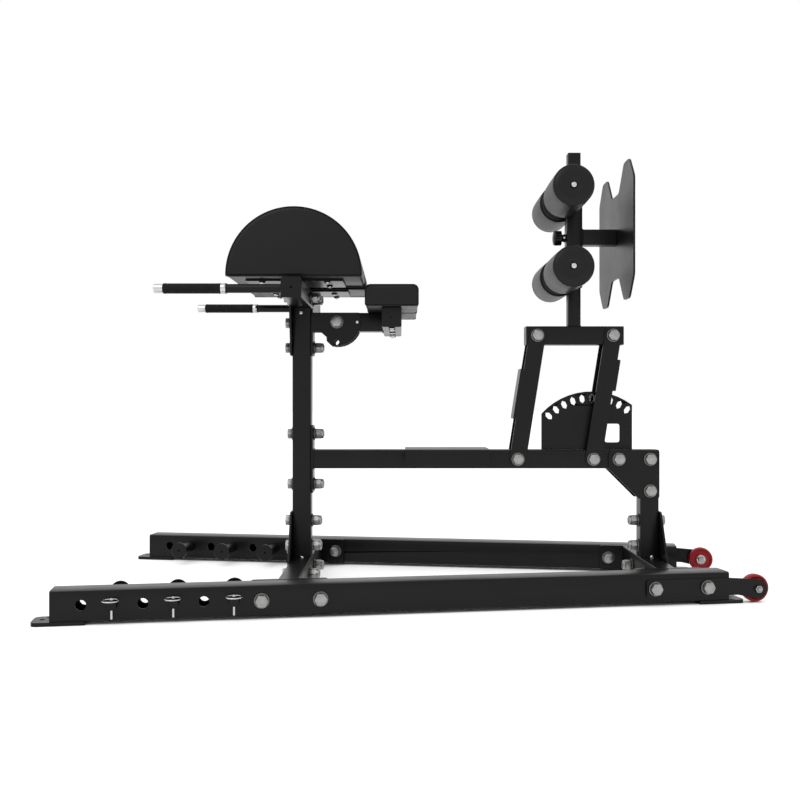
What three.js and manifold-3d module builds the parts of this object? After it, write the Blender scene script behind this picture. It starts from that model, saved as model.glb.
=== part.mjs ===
// Glute ham developer: a splayed steel base, half-round thigh pads on a fixed upright,
// a folding knee pad, and a foot carriage on an indexed parallel linkage.
// Lengths are millimetres and angles are degrees. X runs from the pad end to the foot end,
// Y across, Z up from the floor. Until the last lines X is counted from the front upright's centre.

import * as THREE from 'three';
import { mergeVertices } from 'three/addons/utils/BufferGeometryUtils.js';
import Module from 'manifold-3d';

const wasm = await Module();
wasm.setup();

// Shared fits
const clearance = 0.3; // between pieces that touch
const overrun = 4; // how far a cut runs past the face that it opens
const weldDepth = 1; // how far welded pieces run into each other

// Frame tube, plate and caps
const tubeSize = 50;
const tubeWall = 3;
const tubeCorner = 4;
const plateThickness = 5;
const plateCorner = 6;
const capThickness = 3;
const capHoleRadius = 3;
const drainHoleRadius = 4;

// Structural bolts
const boltRadius = 8;
const boltHexAcross = 24;
const boltHeadHeight = 10;
const boltNutHeight = 16;
const boltTail = 11;
const washerRadius = 17;
const washerThickness = 3;

// Base rails, splayed so that they are wide at the pad end
const railWidth = 70;
const railHeight = 70;
const railWall = 4;
const railCorner = 6;
const splayAngle = 9;
const padEndReach = 510; // front upright to the rails' wide ends
const rearHalfSpan = 269.8; // centre line to the rails' outer faces at the rear upright
const railTail = 59.4; // rail past its last bolt
const footPlateThickness = 9; // the rails stand on their foot plates
const footPlateReach = 42;
const footPlateRun = 75;
const footPlateCorner = 14;
const footPlateHoleRadius = 6;
const railBoltHeight = 43;

// Band pegs in the rails, every second hole of the row
const pegHoleCount = 6;
const pegEvery = 2;
const pegRowGap = 62; // from the row's last hole to the first rail bolt
const pegHeight = 45;
const pegHoleRadius = 12;
const pegBarrelRadius = 15;
const pegBarrelLength = 89;
const pegDiscRadius = 24;
const pegDiscThickness = 6;
const pegTipReach = 14; // outside the rail
const pegPinRadius = 2.7;
const pegPinTail = 20; // below the peg
const pegPinHeadRadius = 4.5;
const pegPinHeadHeight = 4;
const pegRingRadius = 19;
const pegRingWireRadius = 1.2;

// Cross members between the rails
const crossMemberHeight = 70;
const flangeThickness = 8;
const flangeHeight = 70;
const flangeBoltOffset = 67;
const flangeLead = 3.6; // flange centre past the cross member's centre line, along the rail
const flangeMargin = 24; // flange past its outer bolts
const memberBoltOffset = 70;

// Uprights and the plates that tie them to the cross members
const uprightSpacing = 931;
const basePlateHalfFoot = 100;
const basePlateHalfTop = 33;
const basePlateRise = 123; // above the cross member
const basePlateDrop = 66; // below the cross member's top
const baseBoltLow = 30; // above the cross member
const baseBoltHigh = 97.5;

// Main beam
const beamHeight = 341.3; // centre line above the floor
const beamPlateHalfWidth = 30;
const beamPlateHalfHeight = 90.5;
const beamPlateBoltOffset = 67.5;
const gussetGap = 18.1; // between the rear link and the gussets
const gussetCorner = 14; // clears the rear link at its furthest lean
const gussetDepth = 130; // down from the beam's top
const gussetFoot = 56; // width of the gusset's lower edge
const gussetBoltInset = 27.5; // beam bolt from the gusset's edge
const gussetBoltDrop = 84.5; // upright bolt below the beam's centre line

// Step plate on the beam
const stepPlateSetback = 77.8; // its end from the front pivot
const stepPlateLength = 223;
const stepPlateHalfWidth = 80;
const stepPlateThickness = 3;
const stepPlateDepth = 45;
const stepPlateFold = 5;

// Parallel linkage with its index plate
const linkLength = 335;
const linkWidth = 44;
const linkTopCorner = 10;
const rearPivotSetback = 151.2; // from the rear upright's centre line
const pivotSpacing = 202;
const restLean = 9; // lean at rest, towards the foot end
const indexStep = 9;
const indexFirstLean = -45;
const indexSlotCount = 10;
const indexSlotRadius = 163; // from the rear pivot
const indexSlotWidth = 13;
const indexSlotLength = 24;
const indexPlateRadius = 181.5;
const indexPlateLeft = 135.1;
const indexPlateRight = 109.2;
const indexPlateThickness = 6;
const indexWindowWidth = 40;
const indexWindowHeight = 50;
const indexWindowReach = 55.6; // from the rear pivot
const indexWindowRise = 69;
const coverThickness = 8;
const frontCoverStart = 105; // along the link from its lower pivot
const frontCoverLength = 135;
const rearCoverStart = 189;
const rearCoverLength = 84;
const lockPinRadius = 6;
const lockPinTravel = 8; // from drawn to engaged
const lockBarrelRadius = 12;
const lockBarrelLength = 18;
const knobRadius = 18;
const knobLength = 23;
const knobDome = 3;
const knobFlutes = 10;
const knobFluteDepth = 1.5;

// Upper bar and foot post
const upperBarOverhang = 29.7;
const postSize = 34;
const postWall = 2.5;
const postCorner = 3;
const postHeight = 491; // top above the upper bar's centre line
const adjustHoleRadius = 5.2;
const adjustSpacing = 25;
const adjustHolesBelow = 4;
const adjustHolesAbove = 3;

// Foot carriage on the post
const carriageHeight = 264; // its centre above the upper bar's centre line
const sleeveHalfLength = 135;
const sleeveWall = 3;
const sleeveCorner = 4;
const slideClearance = 1;
const footArmLength = 91;
const footPlateHalfWidth = 212;
const footPlateHalfHeight = 177.5;
const footPlateEarRadius = 10;
const pullPinRadius = 5;
const pullBarrelRadius = 9.5;
const pullBarrelLength = 1.5;
const pullStemShow = 10.5; // stem between barrel and knob

// Ankle rollers
const rollerRadius = 53;
const rollerInner = 34; // inner end from the centre line
const rollerLength = 166;
const rollerEdge = 9;
const rollerCap = 6;
const rollerRunning = 0.6;
const upperRollerRise = 101.4; // above the carriage's centre
const lowerRollerDrop = 101.4;
const rollerShaftRadius = 8;
const rollerShaftOffset = 12.5; // axis in front of the sleeve's face
const rollerBossRadius = 14;
const rollerBoltRadius = 4;
const rollerBoltHeadRadius = 6;
const rollerBoltHeadHeight = 4;

// Pad crossbar on the front upright
const padBarHeight = 772; // centre line above the floor
const padBarHalfLength = 289;
const headPlateDrop = 129; // below the bar's lower face
const headPlateRise = 43; // above the bar's lower face
const headPlateHalfFoot = 30;
const headPlateHalfTop = 60;
const headBoltOffset = 40;
const headPostBoltHigh = 40; // upright bolts below the bar's lower face
const headPostBoltLow = 107;

// Handles at the ends of the pad crossbar
const handleOffset = 267;
const handleRadius = 10;
const handleReach = 330.5; // free end from the upright's centre line
const gripRadius = 12.5;
const gripStart = 173;
const gripLength = 139;
const collarRadius = 12.5;
const collarLength = 12.5;
const endCapRadius = 11.5;
const endCapWall = 5;

// Thigh pads
const thighPadRadius = 167.5;
const thighPadBase = 3.5; // straight foot below the half round
const thighPadInner = 43;
const thighPadWidth = 206;
const thighPadEdge = 9;
const thighPadCrown = 3;
const thighPadShift = 2; // pad's centre from the bar's, towards the foot end
const padPlateLength = 245;
const padPlateInner = 52;
const padPlateWidth = 143;
const padPlateShift = -2.5;

// Folding knee pad
const kneePivotReach = 94.5;
const kneePivotDrop = 39; // below the pad crossbar's lower face
const kneeDiscRadius = 64.5;
const kneeDiscEnd = 104; // where the disc's arc ends, down from the arm
const kneeLockRadius = 54;
const kneeLockPinRadius = 5;
const kneeLockSlotWidth = 12;
const kneeLockSlotLength = 17;
const kneePlateTop = 2; // bracket's end plate below the crossbar
const kneePlateHeight = 127;
const kneePlateHalfWidth = 30;
const kneeArmTail = 21.5; // behind the pivot
const kneeArmReach = 122.5; // pivot to the crossbar
const kneeBarHalfLength = 188;
const kneePadWidth = 131;
const kneePadThickness = 53;
const kneePadHalfSpan = 216;
const kneePadGap = 3;
const kneePadCorner = 13; // along the upper edges
const kneePadFootCorner = 3; // along the lower edges
const kneePadEdge = 8;
const kneePadCrown = 2;
const kneePadShift = 0.5;

// Transport wheels behind the rails
const wheelRadius = 34;
const wheelWidth = 24;
const wheelEdge = 3;
const wheelGroundClearance = 1;
const wheelAxleReach = 73.6; // past the rails' ends
const wheelHubRadius = 17;
const wheelSideGap = 3;
const axleRadius = 5;
const axleHeadRadius = 8;
const axleHeadHeight = 5;
const axleNutAcross = 16;
const bracketRun = 215; // along the rail
const bracketFloor = 22;
const bracketTop = 64;
const bracketNose = 24;

// Facets round the circles
const washerSides = 10;
const shankSides = 6;
const hexSides = 6;
const pivotSides = 8;
const roundSides = 12;
const rollerSides = 20;
const wheelSides = 20;
const padSides = 24;
const ringSides = 8;
const wireSides = 4;
const slotSteps = 2;
const cornerSteps = 2;

const half = 0.5;
const halfTube = tubeSize * half;
const radians = Math.PI / 180;
const splay = splayAngle * radians;

// Materials

function finish(color, roughness, metalness) {
  return new THREE.MeshStandardMaterial({ color, roughness, metalness });
}

const powderCoat = finish(0x1d1d1f, 0.5, 0.2);
const zinc = finish(0xb9bbbd, 0.35, 0.9);
const chrome = finish(0xd9dbde, 0.15, 1);
const vinyl = finish(0x1b1b1c, 0.6, 0);
const rubber = finish(0x141414, 0.8, 0);
const plastic = finish(0x111112, 0.55, 0);
const polyurethane = finish(0x8f1a20, 0.45, 0);

// Solids

function signedVolume(geometry) {
  const position = geometry.attributes.position;
  const index = geometry.index;
  const [a, b, c] = [new THREE.Vector3(), new THREE.Vector3(), new THREE.Vector3()];
  let volume = 0;
  for (let i = 0; i < index.count; i += 3) {
    a.fromBufferAttribute(position, index.getX(i));
    b.fromBufferAttribute(position, index.getX(i + 1));
    c.fromBufferAttribute(position, index.getX(i + 2));
    volume += a.dot(b.cross(c));
  }
  return volume;
}

function closed(geometry) {
  const bare = geometry.clone();
  bare.deleteAttribute('normal');
  bare.deleteAttribute('uv');
  const merged = mergeVertices(bare);
  if (signedVolume(merged) < 0) {
    merged.index.array.reverse();
  }
  return merged;
}

function toManifold(geometry) {
  const merged = closed(geometry);
  const vertProperties = new Float32Array(merged.attributes.position.array);
  const triVerts = new Uint32Array(merged.index.array);
  return new wasm.Manifold(new wasm.Mesh({ numProp: 3, vertProperties, triVerts }));
}

function toGeometry(manifold) {
  const mesh = manifold.asOriginal().simplify().getMesh();
  const geometry = new THREE.BufferGeometry();
  geometry.setAttribute('position', new THREE.BufferAttribute(new Float32Array(mesh.vertProperties), 3));
  geometry.setIndex(new THREE.BufferAttribute(new Uint32Array(mesh.triVerts), 1));
  geometry.computeVertexNormals();
  return geometry;
}

function join(...pieces) {
  return toGeometry(pieces.map(toManifold).reduce((sum, piece) => sum.add(piece)));
}

function cut(body, ...tools) {
  return toGeometry(tools.map(toManifold).reduce((rest, tool) => rest.subtract(tool), toManifold(body)));
}

// Outlines, as lists of points

function arc(u, v, radius, from, to, steps) {
  return Array.from({ length: steps + 1 }, (_, i) => {
    const angle = from + ((to - from) * i) / steps;
    return new THREE.Vector2(u + radius * Math.cos(angle), v + radius * Math.sin(angle));
  });
}

function circle(u, v, radius, sides) {
  return arc(u, v, radius, 0, 2 * Math.PI, sides).slice(0, sides);
}

// Corners are [u, v, radius]; each is rounded by a short curve, limited by half of its shorter edge.
function rounded(corners, steps = cornerSteps) {
  const points = [];
  corners.forEach(([u, v, radius = 0], i) => {
    const corner = new THREE.Vector2(u, v);
    const [pu, pv] = corners[(i + corners.length - 1) % corners.length];
    const [nu, nv] = corners[(i + 1) % corners.length];
    const before = new THREE.Vector2(pu, pv).sub(corner);
    const after = new THREE.Vector2(nu, nv).sub(corner);
    const reach = Math.min(radius, before.length() * half, after.length() * half);
    if (reach <= 0) {
      points.push(corner);
      return;
    }
    const start = corner.clone().add(before.setLength(reach));
    const end = corner.clone().add(after.setLength(reach));
    const curve = new THREE.QuadraticBezierCurve(start, corner, end);
    points.push(...curve.getPoints(steps));
  });
  return points;
}

function rectangle(u0, u1, v0, v1, radius = 0) {
  return rounded([[u0, v0, radius], [u1, v0, radius], [u1, v1, radius], [u0, v1, radius]]);
}

// An obround of the given width and length, its long way turned by angle from the v axis.
function obround(u, v, width, length, angle, steps) {
  const radius = width * half;
  const reach = (length - width) * half;
  const ends = [
    ...arc(0, reach, radius, 0, Math.PI, steps),
    ...arc(0, -reach, radius, Math.PI, 2 * Math.PI, steps),
  ];
  return ends.map((p) => p.rotateAround(new THREE.Vector2(), -angle).add(new THREE.Vector2(u, v)));
}

// Solids from outlines. Outlines are drawn in (y, z) for x, (x, z) for y and (x, y) for z.

const unitX = new THREE.Vector3(1, 0, 0);
const unitY = new THREE.Vector3(0, 1, 0);
const unitZ = new THREE.Vector3(0, 0, 1);
const drawnAcross = {
  x: new THREE.Matrix4().makeBasis(unitY, unitZ, unitX),
  y: new THREE.Matrix4().makeBasis(unitX, unitZ, unitY.clone().negate()),
  z: new THREE.Matrix4(),
};

function prism(outline, axis, from, to, holes = []) {
  const low = Math.min(from, to);
  const high = Math.max(from, to);
  const shape = new THREE.Shape(outline);
  shape.holes = holes.map((hole) => new THREE.Path(hole));
  const geometry = new THREE.ExtrudeGeometry(shape, { depth: high - low, bevelEnabled: false });
  geometry.applyMatrix4(drawnAcross[axis]);
  if (axis === 'x') geometry.translate(low, 0, 0);
  if (axis === 'y') geometry.translate(0, high, 0);
  if (axis === 'z') geometry.translate(0, 0, low);
  return geometry;
}

function rod(axis, radius, from, to, u, v, sides = shankSides) {
  return prism(circle(u, v, radius, sides), axis, from, to);
}

function tube(axis, from, to, u, v, width, height, wall, corner) {
  const outer = rectangle(u - width * half, u + width * half, v - height * half, v + height * half, corner);
  const inner = rectangle(
    u - width * half + wall,
    u + width * half - wall,
    v - height * half + wall,
    v + height * half - wall,
  );
  return prism(outer, axis, from, to, [inner]);
}

function frameTube(axis, from, to, u, v) {
  return tube(axis, from, to, u, v, tubeSize, tubeSize, tubeWall, tubeCorner);
}

// A plate that closes a tube's end, with a small vent hole in its middle.
function cap(axis, from, to, u, v, width, height, corner) {
  const outer = rectangle(u - width * half, u + width * half, v - height * half, v + height * half, corner);
  return prism(outer, axis, from, to, [circle(u, v, capHoleRadius, shankSides)]);
}

function frameCap(axis, from, to, u, v) {
  return cap(axis, from, to, u, v, tubeSize, tubeSize, tubeCorner);
}

// A turned piece round the Y axis. The profile is [radius, y] pairs and closes on itself.
function turned(profile, sides) {
  const points = profile.map(([r, y]) => new THREE.Vector2(r, y));
  if (profile[0][0] > 0) points.push(points[0].clone());
  return closed(new THREE.LatheGeometry(points, sides));
}

function hexagon(axis, across, from, to, u, v) {
  return prism(circle(u, v, (across * half) / Math.cos(Math.PI / hexSides), hexSides), axis, from, to);
}

// A bolt with its head and washer outside headFace and its nut outside nutFace.
function throughBolt(axis, u, v, headFace, nutFace) {
  const way = Math.sign(nutFace - headFace);
  const headWasher = headFace - way * washerThickness;
  const headEnd = headWasher - way * boltHeadHeight;
  const nutEnd = nutFace + way * boltNutHeight;
  const tailEnd = nutEnd + way * boltTail;
  return join(
    rod(axis, washerRadius, headFace, headWasher, u, v, washerSides),
    hexagon(axis, boltHexAcross, headWasher + way * weldDepth, headEnd, u, v),
    rod(axis, boltRadius, headWasher, tailEnd, u, v),
    hexagon(axis, boltHexAcross, nutFace, nutEnd, u, v),
  );
}

// Holes for bolts that stay put have the shank's own facets; holes that turn on a bolt clear its corners.
const boltHoleRadius = boltRadius + clearance;
const pivotHoleRadius = (boltRadius + clearance) / Math.cos(Math.PI / pivotSides);

function boltOutline(u, v) {
  return circle(u, v, boltHoleRadius, shankSides);
}

function pivotOutline(u, v) {
  return circle(u, v, pivotHoleRadius, pivotSides);
}

function pivotHole(u, v) {
  return prism(pivotOutline(u, v), 'y', -halfTube - overrun, halfTube + overrun);
}

// The face of a plate bolted on a tube, and where the bolt's washer lies on that plate.
const plateSeat = halfTube + clearance;
const plateFace = plateSeat + plateThickness;
const washerSeat = plateFace + clearance;

// The assembly

const part = new THREE.Group();

function add(name, geometry, material, parent = part) {
  const mesh = new THREE.Mesh(geometry, material);
  mesh.name = name;
  parent.add(mesh);
  return mesh;
}

const padEndHalfSpan = rearHalfSpan + (padEndReach + uprightSpacing) * Math.tan(splay);

// Each rail has a frame of its own: x along it from the pad end, y from its outer face.
// Side is -1 for the near rail and 1 for the far one, and inward(side, d) is d towards the centre line.
const sides = { near: -1, far: 1 };
const inward = (side, distance) => -side * distance;

function railGroup(side) {
  const group = new THREE.Group();
  group.position.set(-padEndReach, side * padEndHalfSpan, 0);
  group.rotation.z = -side * splay;
  group.updateMatrix();
  return group;
}

const railGroups = { near: railGroup(sides.near), far: railGroup(sides.far) };
part.add(railGroups.near, railGroups.far);

// The middle of a cross member's flange, measured along the rail: just past where the member's
// centre line, at a station along X, crosses the rail's inner face.
function alongRail(station) {
  return (padEndReach + station + railWidth * Math.sin(splay)) / Math.cos(splay) + flangeLead;
}

const stations = { front: 0, rear: uprightSpacing };
const railLength = alongRail(stations.rear) + flangeBoltOffset + railTail;
const pegSpacing = (alongRail(stations.front) - flangeBoltOffset - pegRowGap) / pegHoleCount;
const railFloor = footPlateThickness - weldDepth;
const railTop = railFloor + railHeight;
const flangeSeat = railWidth + clearance;
const flangeFace = flangeSeat + flangeThickness;

function footPlate(side, end, way) {
  const u0 = end + way * footPlateReach;
  const u1 = end - way * footPlateRun;
  const v0 = 0;
  const v1 = inward(side, railWidth);
  const corners = [[u0, v0, footPlateCorner], [u1, v0], [u1, v1], [u0, v1, footPlateCorner]];
  const hole = circle(end + way * footPlateReach * half, v1 * half, footPlateHoleRadius, shankSides);
  return prism(rounded(corners), 'z', 0, footPlateThickness, [hole]);
}

function baseRail(side) {
  const centre = inward(side, railWidth * half);
  const middle = (railFloor + railTop) * half;
  const section = rectangle(Math.min(0, 2 * centre), Math.max(0, 2 * centre), railFloor, railTop, railCorner);
  const body = join(
    tube('x', 0, railLength, centre, middle, railWidth, railHeight, railWall, railCorner),
    prism(section, 'x', 0, capThickness),
    prism(section, 'x', railLength - capThickness, railLength),
    footPlate(side, 0, -1),
    footPlate(side, railLength, 1),
  );
  const holes = Array.from({ length: pegHoleCount }, (_, i) => {
    const ends = [inward(side, -overrun), inward(side, railWidth + overrun)];
    return rod('y', pegHoleRadius, ...ends, (i + 1) * pegSpacing, pegHeight, roundSides);
  });
  const nutFace = inward(side, flangeFace + clearance);
  const bolts = Object.entries(stations).flatMap(([name, station]) => {
    const headFace = name === 'rear' ? inward(side, -(clearance + plateThickness + clearance)) : 0;
    return [-1, 1].map((way) =>
      throughBolt('y', alongRail(station) + way * flangeBoltOffset, railBoltHeight, headFace, nutFace));
  });
  return join(cut(body, ...holes), ...bolts);
}

// A spigot through the rail, a barrel inside it and a disc that keeps a band on, with its ring pin.
function bandPeg(side, x) {
  const tip = inward(side, -pegTipReach);
  const shoulder = inward(side, railWidth + clearance);
  const disc = inward(side, railWidth + clearance + pegBarrelLength);
  const end = inward(side, railWidth + clearance + pegBarrelLength + pegDiscThickness);
  const pinAt = inward(side, -pegTipReach * half);
  const spigotRadius = pegHoleRadius - clearance;
  const top = pegHeight + spigotRadius;
  const ring = new THREE.TorusGeometry(pegRingRadius, pegRingWireRadius, wireSides, ringSides);
  ring.translate(x, pinAt + inward(side, -pegRingRadius), top + pegRingWireRadius + clearance);
  return join(
    rod('y', spigotRadius, tip, shoulder, x, pegHeight, roundSides),
    rod('y', pegBarrelRadius, shoulder, disc, x, pegHeight, roundSides),
    rod('y', pegDiscRadius, disc, end, x, pegHeight, roundSides),
    rod('z', pegPinRadius, pegHeight - spigotRadius - pegPinTail, top + pegPinHeadHeight, x, pinAt),
    rod('z', pegPinHeadRadius, top - weldDepth, top + pegPinHeadHeight, x, pinAt),
    ring,
  );
}

// Transport wheels: a plate bracket on the rail's outer face carries the axle, the wheel runs inside it.
const axleX = railLength + wheelAxleReach;
const axleZ = wheelRadius + wheelGroundClearance;
const wheelSeat = wheelSideGap;

function wheelBracket(side) {
  const outer = inward(side, -(clearance + plateThickness));
  const inner = inward(side, -clearance);
  const start = railLength - bracketRun;
  const step = railLength + footPlateReach * half;
  const strip = rounded([
    [start, bracketTop, plateCorner], [start, bracketFloor, plateCorner],
    [step, bracketFloor], [railLength, bracketTop],
  ]);
  const nose = arc(axleX, axleZ, bracketNose, -Math.PI * half, Math.PI * half, roundSides * half);
  const outline = [...strip.slice(0, -1), ...nose, strip.at(-1)];
  const holes = [-1, 1].map((way) =>
    boltOutline(alongRail(stations.rear) + way * flangeBoltOffset, railBoltHeight));
  const wheelEnd = wheelSeat + wheelWidth + clearance;
  return join(
    prism(outline, 'y', outer, inner, holes),
    rod('y', axleRadius, outer, inward(side, wheelEnd + axleHeadHeight), axleX, axleZ),
    rod('y', axleHeadRadius, inner, inward(side, wheelSeat - clearance), axleX, axleZ),
    rod('y', axleHeadRadius, inward(side, wheelEnd), inward(side, wheelEnd + axleHeadHeight), axleX, axleZ),
    hexagon('y', axleNutAcross, outer, outer + inward(side, -axleHeadHeight), axleX, axleZ),
  );
}

// The wheel's pieces are turned round their own middle.
function wheelTyre() {
  const w = wheelWidth * half;
  return turned([
    [wheelHubRadius + clearance, -w], [wheelRadius - wheelEdge, -w], [wheelRadius, -w + wheelEdge],
    [wheelRadius, w - wheelEdge], [wheelRadius - wheelEdge, w], [wheelHubRadius + clearance, w],
  ], wheelSides);
}

function wheelHub() {
  const w = wheelWidth * half;
  const bore = (axleRadius + clearance) / Math.cos(Math.PI / wheelSides);
  return turned([[bore, -w], [wheelHubRadius, -w], [wheelHubRadius, w], [bore, w]], wheelSides);
}

for (const [name, side] of Object.entries(sides)) {
  const group = railGroups[name];
  add(`${name}_base_rail`, baseRail(side), powderCoat, group);
  for (let peg = 1; peg * pegEvery <= pegHoleCount; peg += 1) {
    add(`${name}_band_peg_${peg}`, bandPeg(side, peg * pegEvery * pegSpacing), powderCoat, group);
  }
  add(`${name}_wheel_bracket`, wheelBracket(side), powderCoat, group);
  const wheelY = inward(side, wheelSeat + wheelWidth * half);
  add(`${name}_wheel_tyre`, wheelTyre(), polyurethane, group).position.set(axleX, wheelY, axleZ);
  add(`${name}_wheel_hub`, wheelHub(), chrome, group).position.set(axleX, wheelY, axleZ);
}

// Cross members, their ends cut along the splayed rails and welded to bolted flanges.
const memberTop = railTop;
const memberFloor = memberTop - crossMemberHeight;
const memberMiddle = (memberTop + memberFloor) * half;

function crossMember(station, plateWay) {
  const flangeX = alongRail(station);
  const flangeHalf = flangeBoltOffset + flangeMargin;
  const flangeSpan = [flangeX - flangeHalf, flangeX + flangeHalf];
  const flangeLow = memberMiddle - flangeHeight * half;
  const flangeHigh = memberMiddle + flangeHeight * half;
  const trims = [];
  const flanges = [];
  for (const [name, side] of Object.entries(sides)) {
    const seat = inward(side, flangeSeat);
    const face = inward(side, flangeFace);
    const trimOutline = rectangle(...flangeSpan, -overrun, railTop + overrun);
    const trim = prism(trimOutline, 'y', inward(side, -padEndHalfSpan), (seat + face) * half);
    const holes = [-1, 1].map((way) =>
      boltOutline(flangeX + way * flangeBoltOffset, railBoltHeight));
    const plateOutline = rectangle(...flangeSpan, flangeLow, flangeHigh, plateCorner);
    const flange = prism(plateOutline, 'y', seat, face, holes);
    trims.push(trim.applyMatrix4(railGroups[name].matrix));
    flanges.push(flange.applyMatrix4(railGroups[name].matrix));
  }
  const bar = tube('y', -padEndHalfSpan, padEndHalfSpan, station, memberMiddle,
    tubeSize, crossMemberHeight, tubeWall, tubeCorner);
  const drain = rod('z', drainHoleRadius, memberFloor - overrun, memberMiddle, station, 0);
  const bolts = [-1, 1].map((way) => throughBolt('x', way * memberBoltOffset, memberMiddle,
    station + plateWay * washerSeat, station - plateWay * halfTube));
  return join(cut(bar, ...trims, drain), ...flanges, ...bolts);
}

add('front_cross_member', crossMember(stations.front, -1), powderCoat);
add('rear_cross_member', crossMember(stations.rear, 1), powderCoat);

// The plates that tie the uprights to the cross members.
const baseBolts = [memberTop + baseBoltLow, memberTop + baseBoltHigh];

function basePlate(station, plateWay) {
  const floor = memberTop - basePlateDrop;
  const top = memberTop + basePlateRise;
  const outline = rounded([
    [-basePlateHalfFoot, floor, plateCorner], [basePlateHalfFoot, floor, plateCorner],
    [basePlateHalfFoot, memberTop, plateCorner], [basePlateHalfTop, top, plateCorner],
    [-basePlateHalfTop, top, plateCorner], [-basePlateHalfFoot, memberTop, plateCorner],
  ]);
  const holes = [
    ...baseBolts.map((z) => boltOutline(0, z)),
    ...[-1, 1].map((way) => boltOutline(way * memberBoltOffset, memberMiddle)),
  ];
  return prism(outline, 'x', station + plateWay * plateSeat, station + plateWay * plateFace, holes);
}

add('front_base_plate', basePlate(stations.front, -1), powderCoat);
add('rear_base_plate', basePlate(stations.rear, 1), powderCoat);

// Uprights, with the bolts that clamp their plates.
const beamTop = beamHeight + halfTube;
const beamFloor = beamHeight - halfTube;
const padBarFloor = padBarHeight - halfTube;
const beamPlateBolts = [beamHeight - beamPlateBoltOffset, beamHeight + beamPlateBoltOffset];
const headPostBolts = [padBarFloor - headPostBoltHigh, padBarFloor - headPostBoltLow];

function frontUpright() {
  return join(
    frameTube('z', memberTop + clearance, padBarFloor - clearance, 0, 0),
    ...baseBolts.map((z) => throughBolt('x', 0, z, -washerSeat, halfTube)),
    ...beamPlateBolts.map((z) => throughBolt('x', 0, z, -halfTube, washerSeat)),
    ...headPostBolts.map((z) => throughBolt('x', 0, z, -washerSeat, washerSeat)),
  );
}

function rearUpright() {
  const x = stations.rear;
  return join(
    frameTube('z', memberTop + clearance, beamFloor - clearance, x, 0),
    ...baseBolts.map((z) => throughBolt('x', 0, z, x + washerSeat, x - halfTube)),
    throughBolt('y', x, beamHeight - gussetBoltDrop, -washerSeat, washerSeat),
  );
}

add('front_upright', frontUpright(), powderCoat);
add('rear_upright', rearUpright(), powderCoat);

// Main beam, from its end plate on the front upright to over the rear one.
const beamEnd = stations.rear + halfTube;
const rearPivotReach = stations.rear - rearPivotSetback;
const frontPivotReach = rearPivotReach - pivotSpacing;
const gussetStart = rearPivotReach + linkWidth * half + gussetGap;
const gussetBolts = [gussetStart + gussetBoltInset, stations.rear];

function mainBeam() {
  const plateOutline = rectangle(-beamPlateHalfWidth, beamPlateHalfWidth,
    beamHeight - beamPlateHalfHeight, beamHeight + beamPlateHalfHeight, plateCorner);
  const plateHoles = beamPlateBolts.map((z) => boltOutline(0, z));
  const bar = join(
    frameTube('x', plateFace - weldDepth, beamEnd, 0, beamHeight),
    frameCap('x', beamEnd - capThickness, beamEnd, 0, beamHeight),
    prism(plateOutline, 'x', plateSeat, plateFace, plateHoles),
  );
  const pivotHoles = [frontPivotReach, rearPivotReach].map((x) => pivotHole(x, beamHeight));
  const bolts = gussetBolts.map((x) => throughBolt('y', x, beamHeight, -washerSeat, washerSeat));
  return join(cut(bar, ...pivotHoles), ...bolts);
}

function cornerGusset(side) {
  const outline = rounded([
    [gussetStart, beamTop, gussetCorner], [gussetStart, beamFloor],
    [beamEnd - gussetFoot, beamTop - gussetDepth], [beamEnd, beamTop - gussetDepth, plateCorner],
    [beamEnd, beamTop, plateCorner],
  ]);
  const holes = [
    ...gussetBolts.map((x) => boltOutline(x, beamHeight)),
    boltOutline(stations.rear, beamHeight - gussetBoltDrop),
  ];
  return prism(outline, 'y', side * plateSeat, side * plateFace, holes);
}

function stepPlate() {
  const low = beamTop + clearance;
  const high = low + stepPlateThickness;
  const w = stepPlateHalfWidth;
  const t = stepPlateThickness;
  const foot = high - stepPlateDepth;
  const outline = rounded([
    [-w, foot], [-w + t, foot], [-w + t, low, stepPlateFold - t], [w - t, low, stepPlateFold - t],
    [w - t, foot], [w, foot], [w, high, stepPlateFold], [-w, high, stepPlateFold],
  ]);
  const end = frontPivotReach - stepPlateSetback;
  return prism(outline, 'x', end - stepPlateLength, end);
}

add('main_beam', mainBeam(), powderCoat);
add('near_corner_gusset', cornerGusset(sides.near), powderCoat);
add('far_corner_gusset', cornerGusset(sides.far), powderCoat);
add('step_plate', stepPlate(), powderCoat);

// Index plate, drawn round the rear pivot: a sector with a radial slot for every setting.
function leanPoint(radius, lean) {
  return new THREE.Vector2(radius * Math.sin(lean * radians), radius * Math.cos(lean * radians));
}

function indexPlate() {
  const foot = halfTube + clearance;
  const from = Math.acos(-indexPlateLeft / indexPlateRadius);
  const to = Math.acos(indexPlateRight / indexPlateRadius);
  const outline = [
    new THREE.Vector2(indexPlateRight, foot),
    ...arc(0, 0, indexPlateRadius, to, from, padSides * half),
    new THREE.Vector2(-indexPlateLeft, foot),
  ];
  const slots = Array.from({ length: indexSlotCount }, (_, i) => {
    const lean = indexFirstLean + i * indexStep;
    const centre = leanPoint(indexSlotRadius, lean);
    return obround(centre.x, centre.y, indexSlotWidth, indexSlotLength, lean * radians, slotSteps);
  });
  const windowHole = rectangle(
    indexWindowReach - indexWindowWidth * half, indexWindowReach + indexWindowWidth * half,
    indexWindowRise - indexWindowHeight * half, indexWindowRise + indexWindowHeight * half, plateCorner,
  );
  return prism(outline, 'y', -indexPlateThickness * half, indexPlateThickness * half, [...slots, windowHole]);
}

add('index_plate', indexPlate(), powderCoat).position.set(rearPivotReach, 0, beamHeight);

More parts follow.
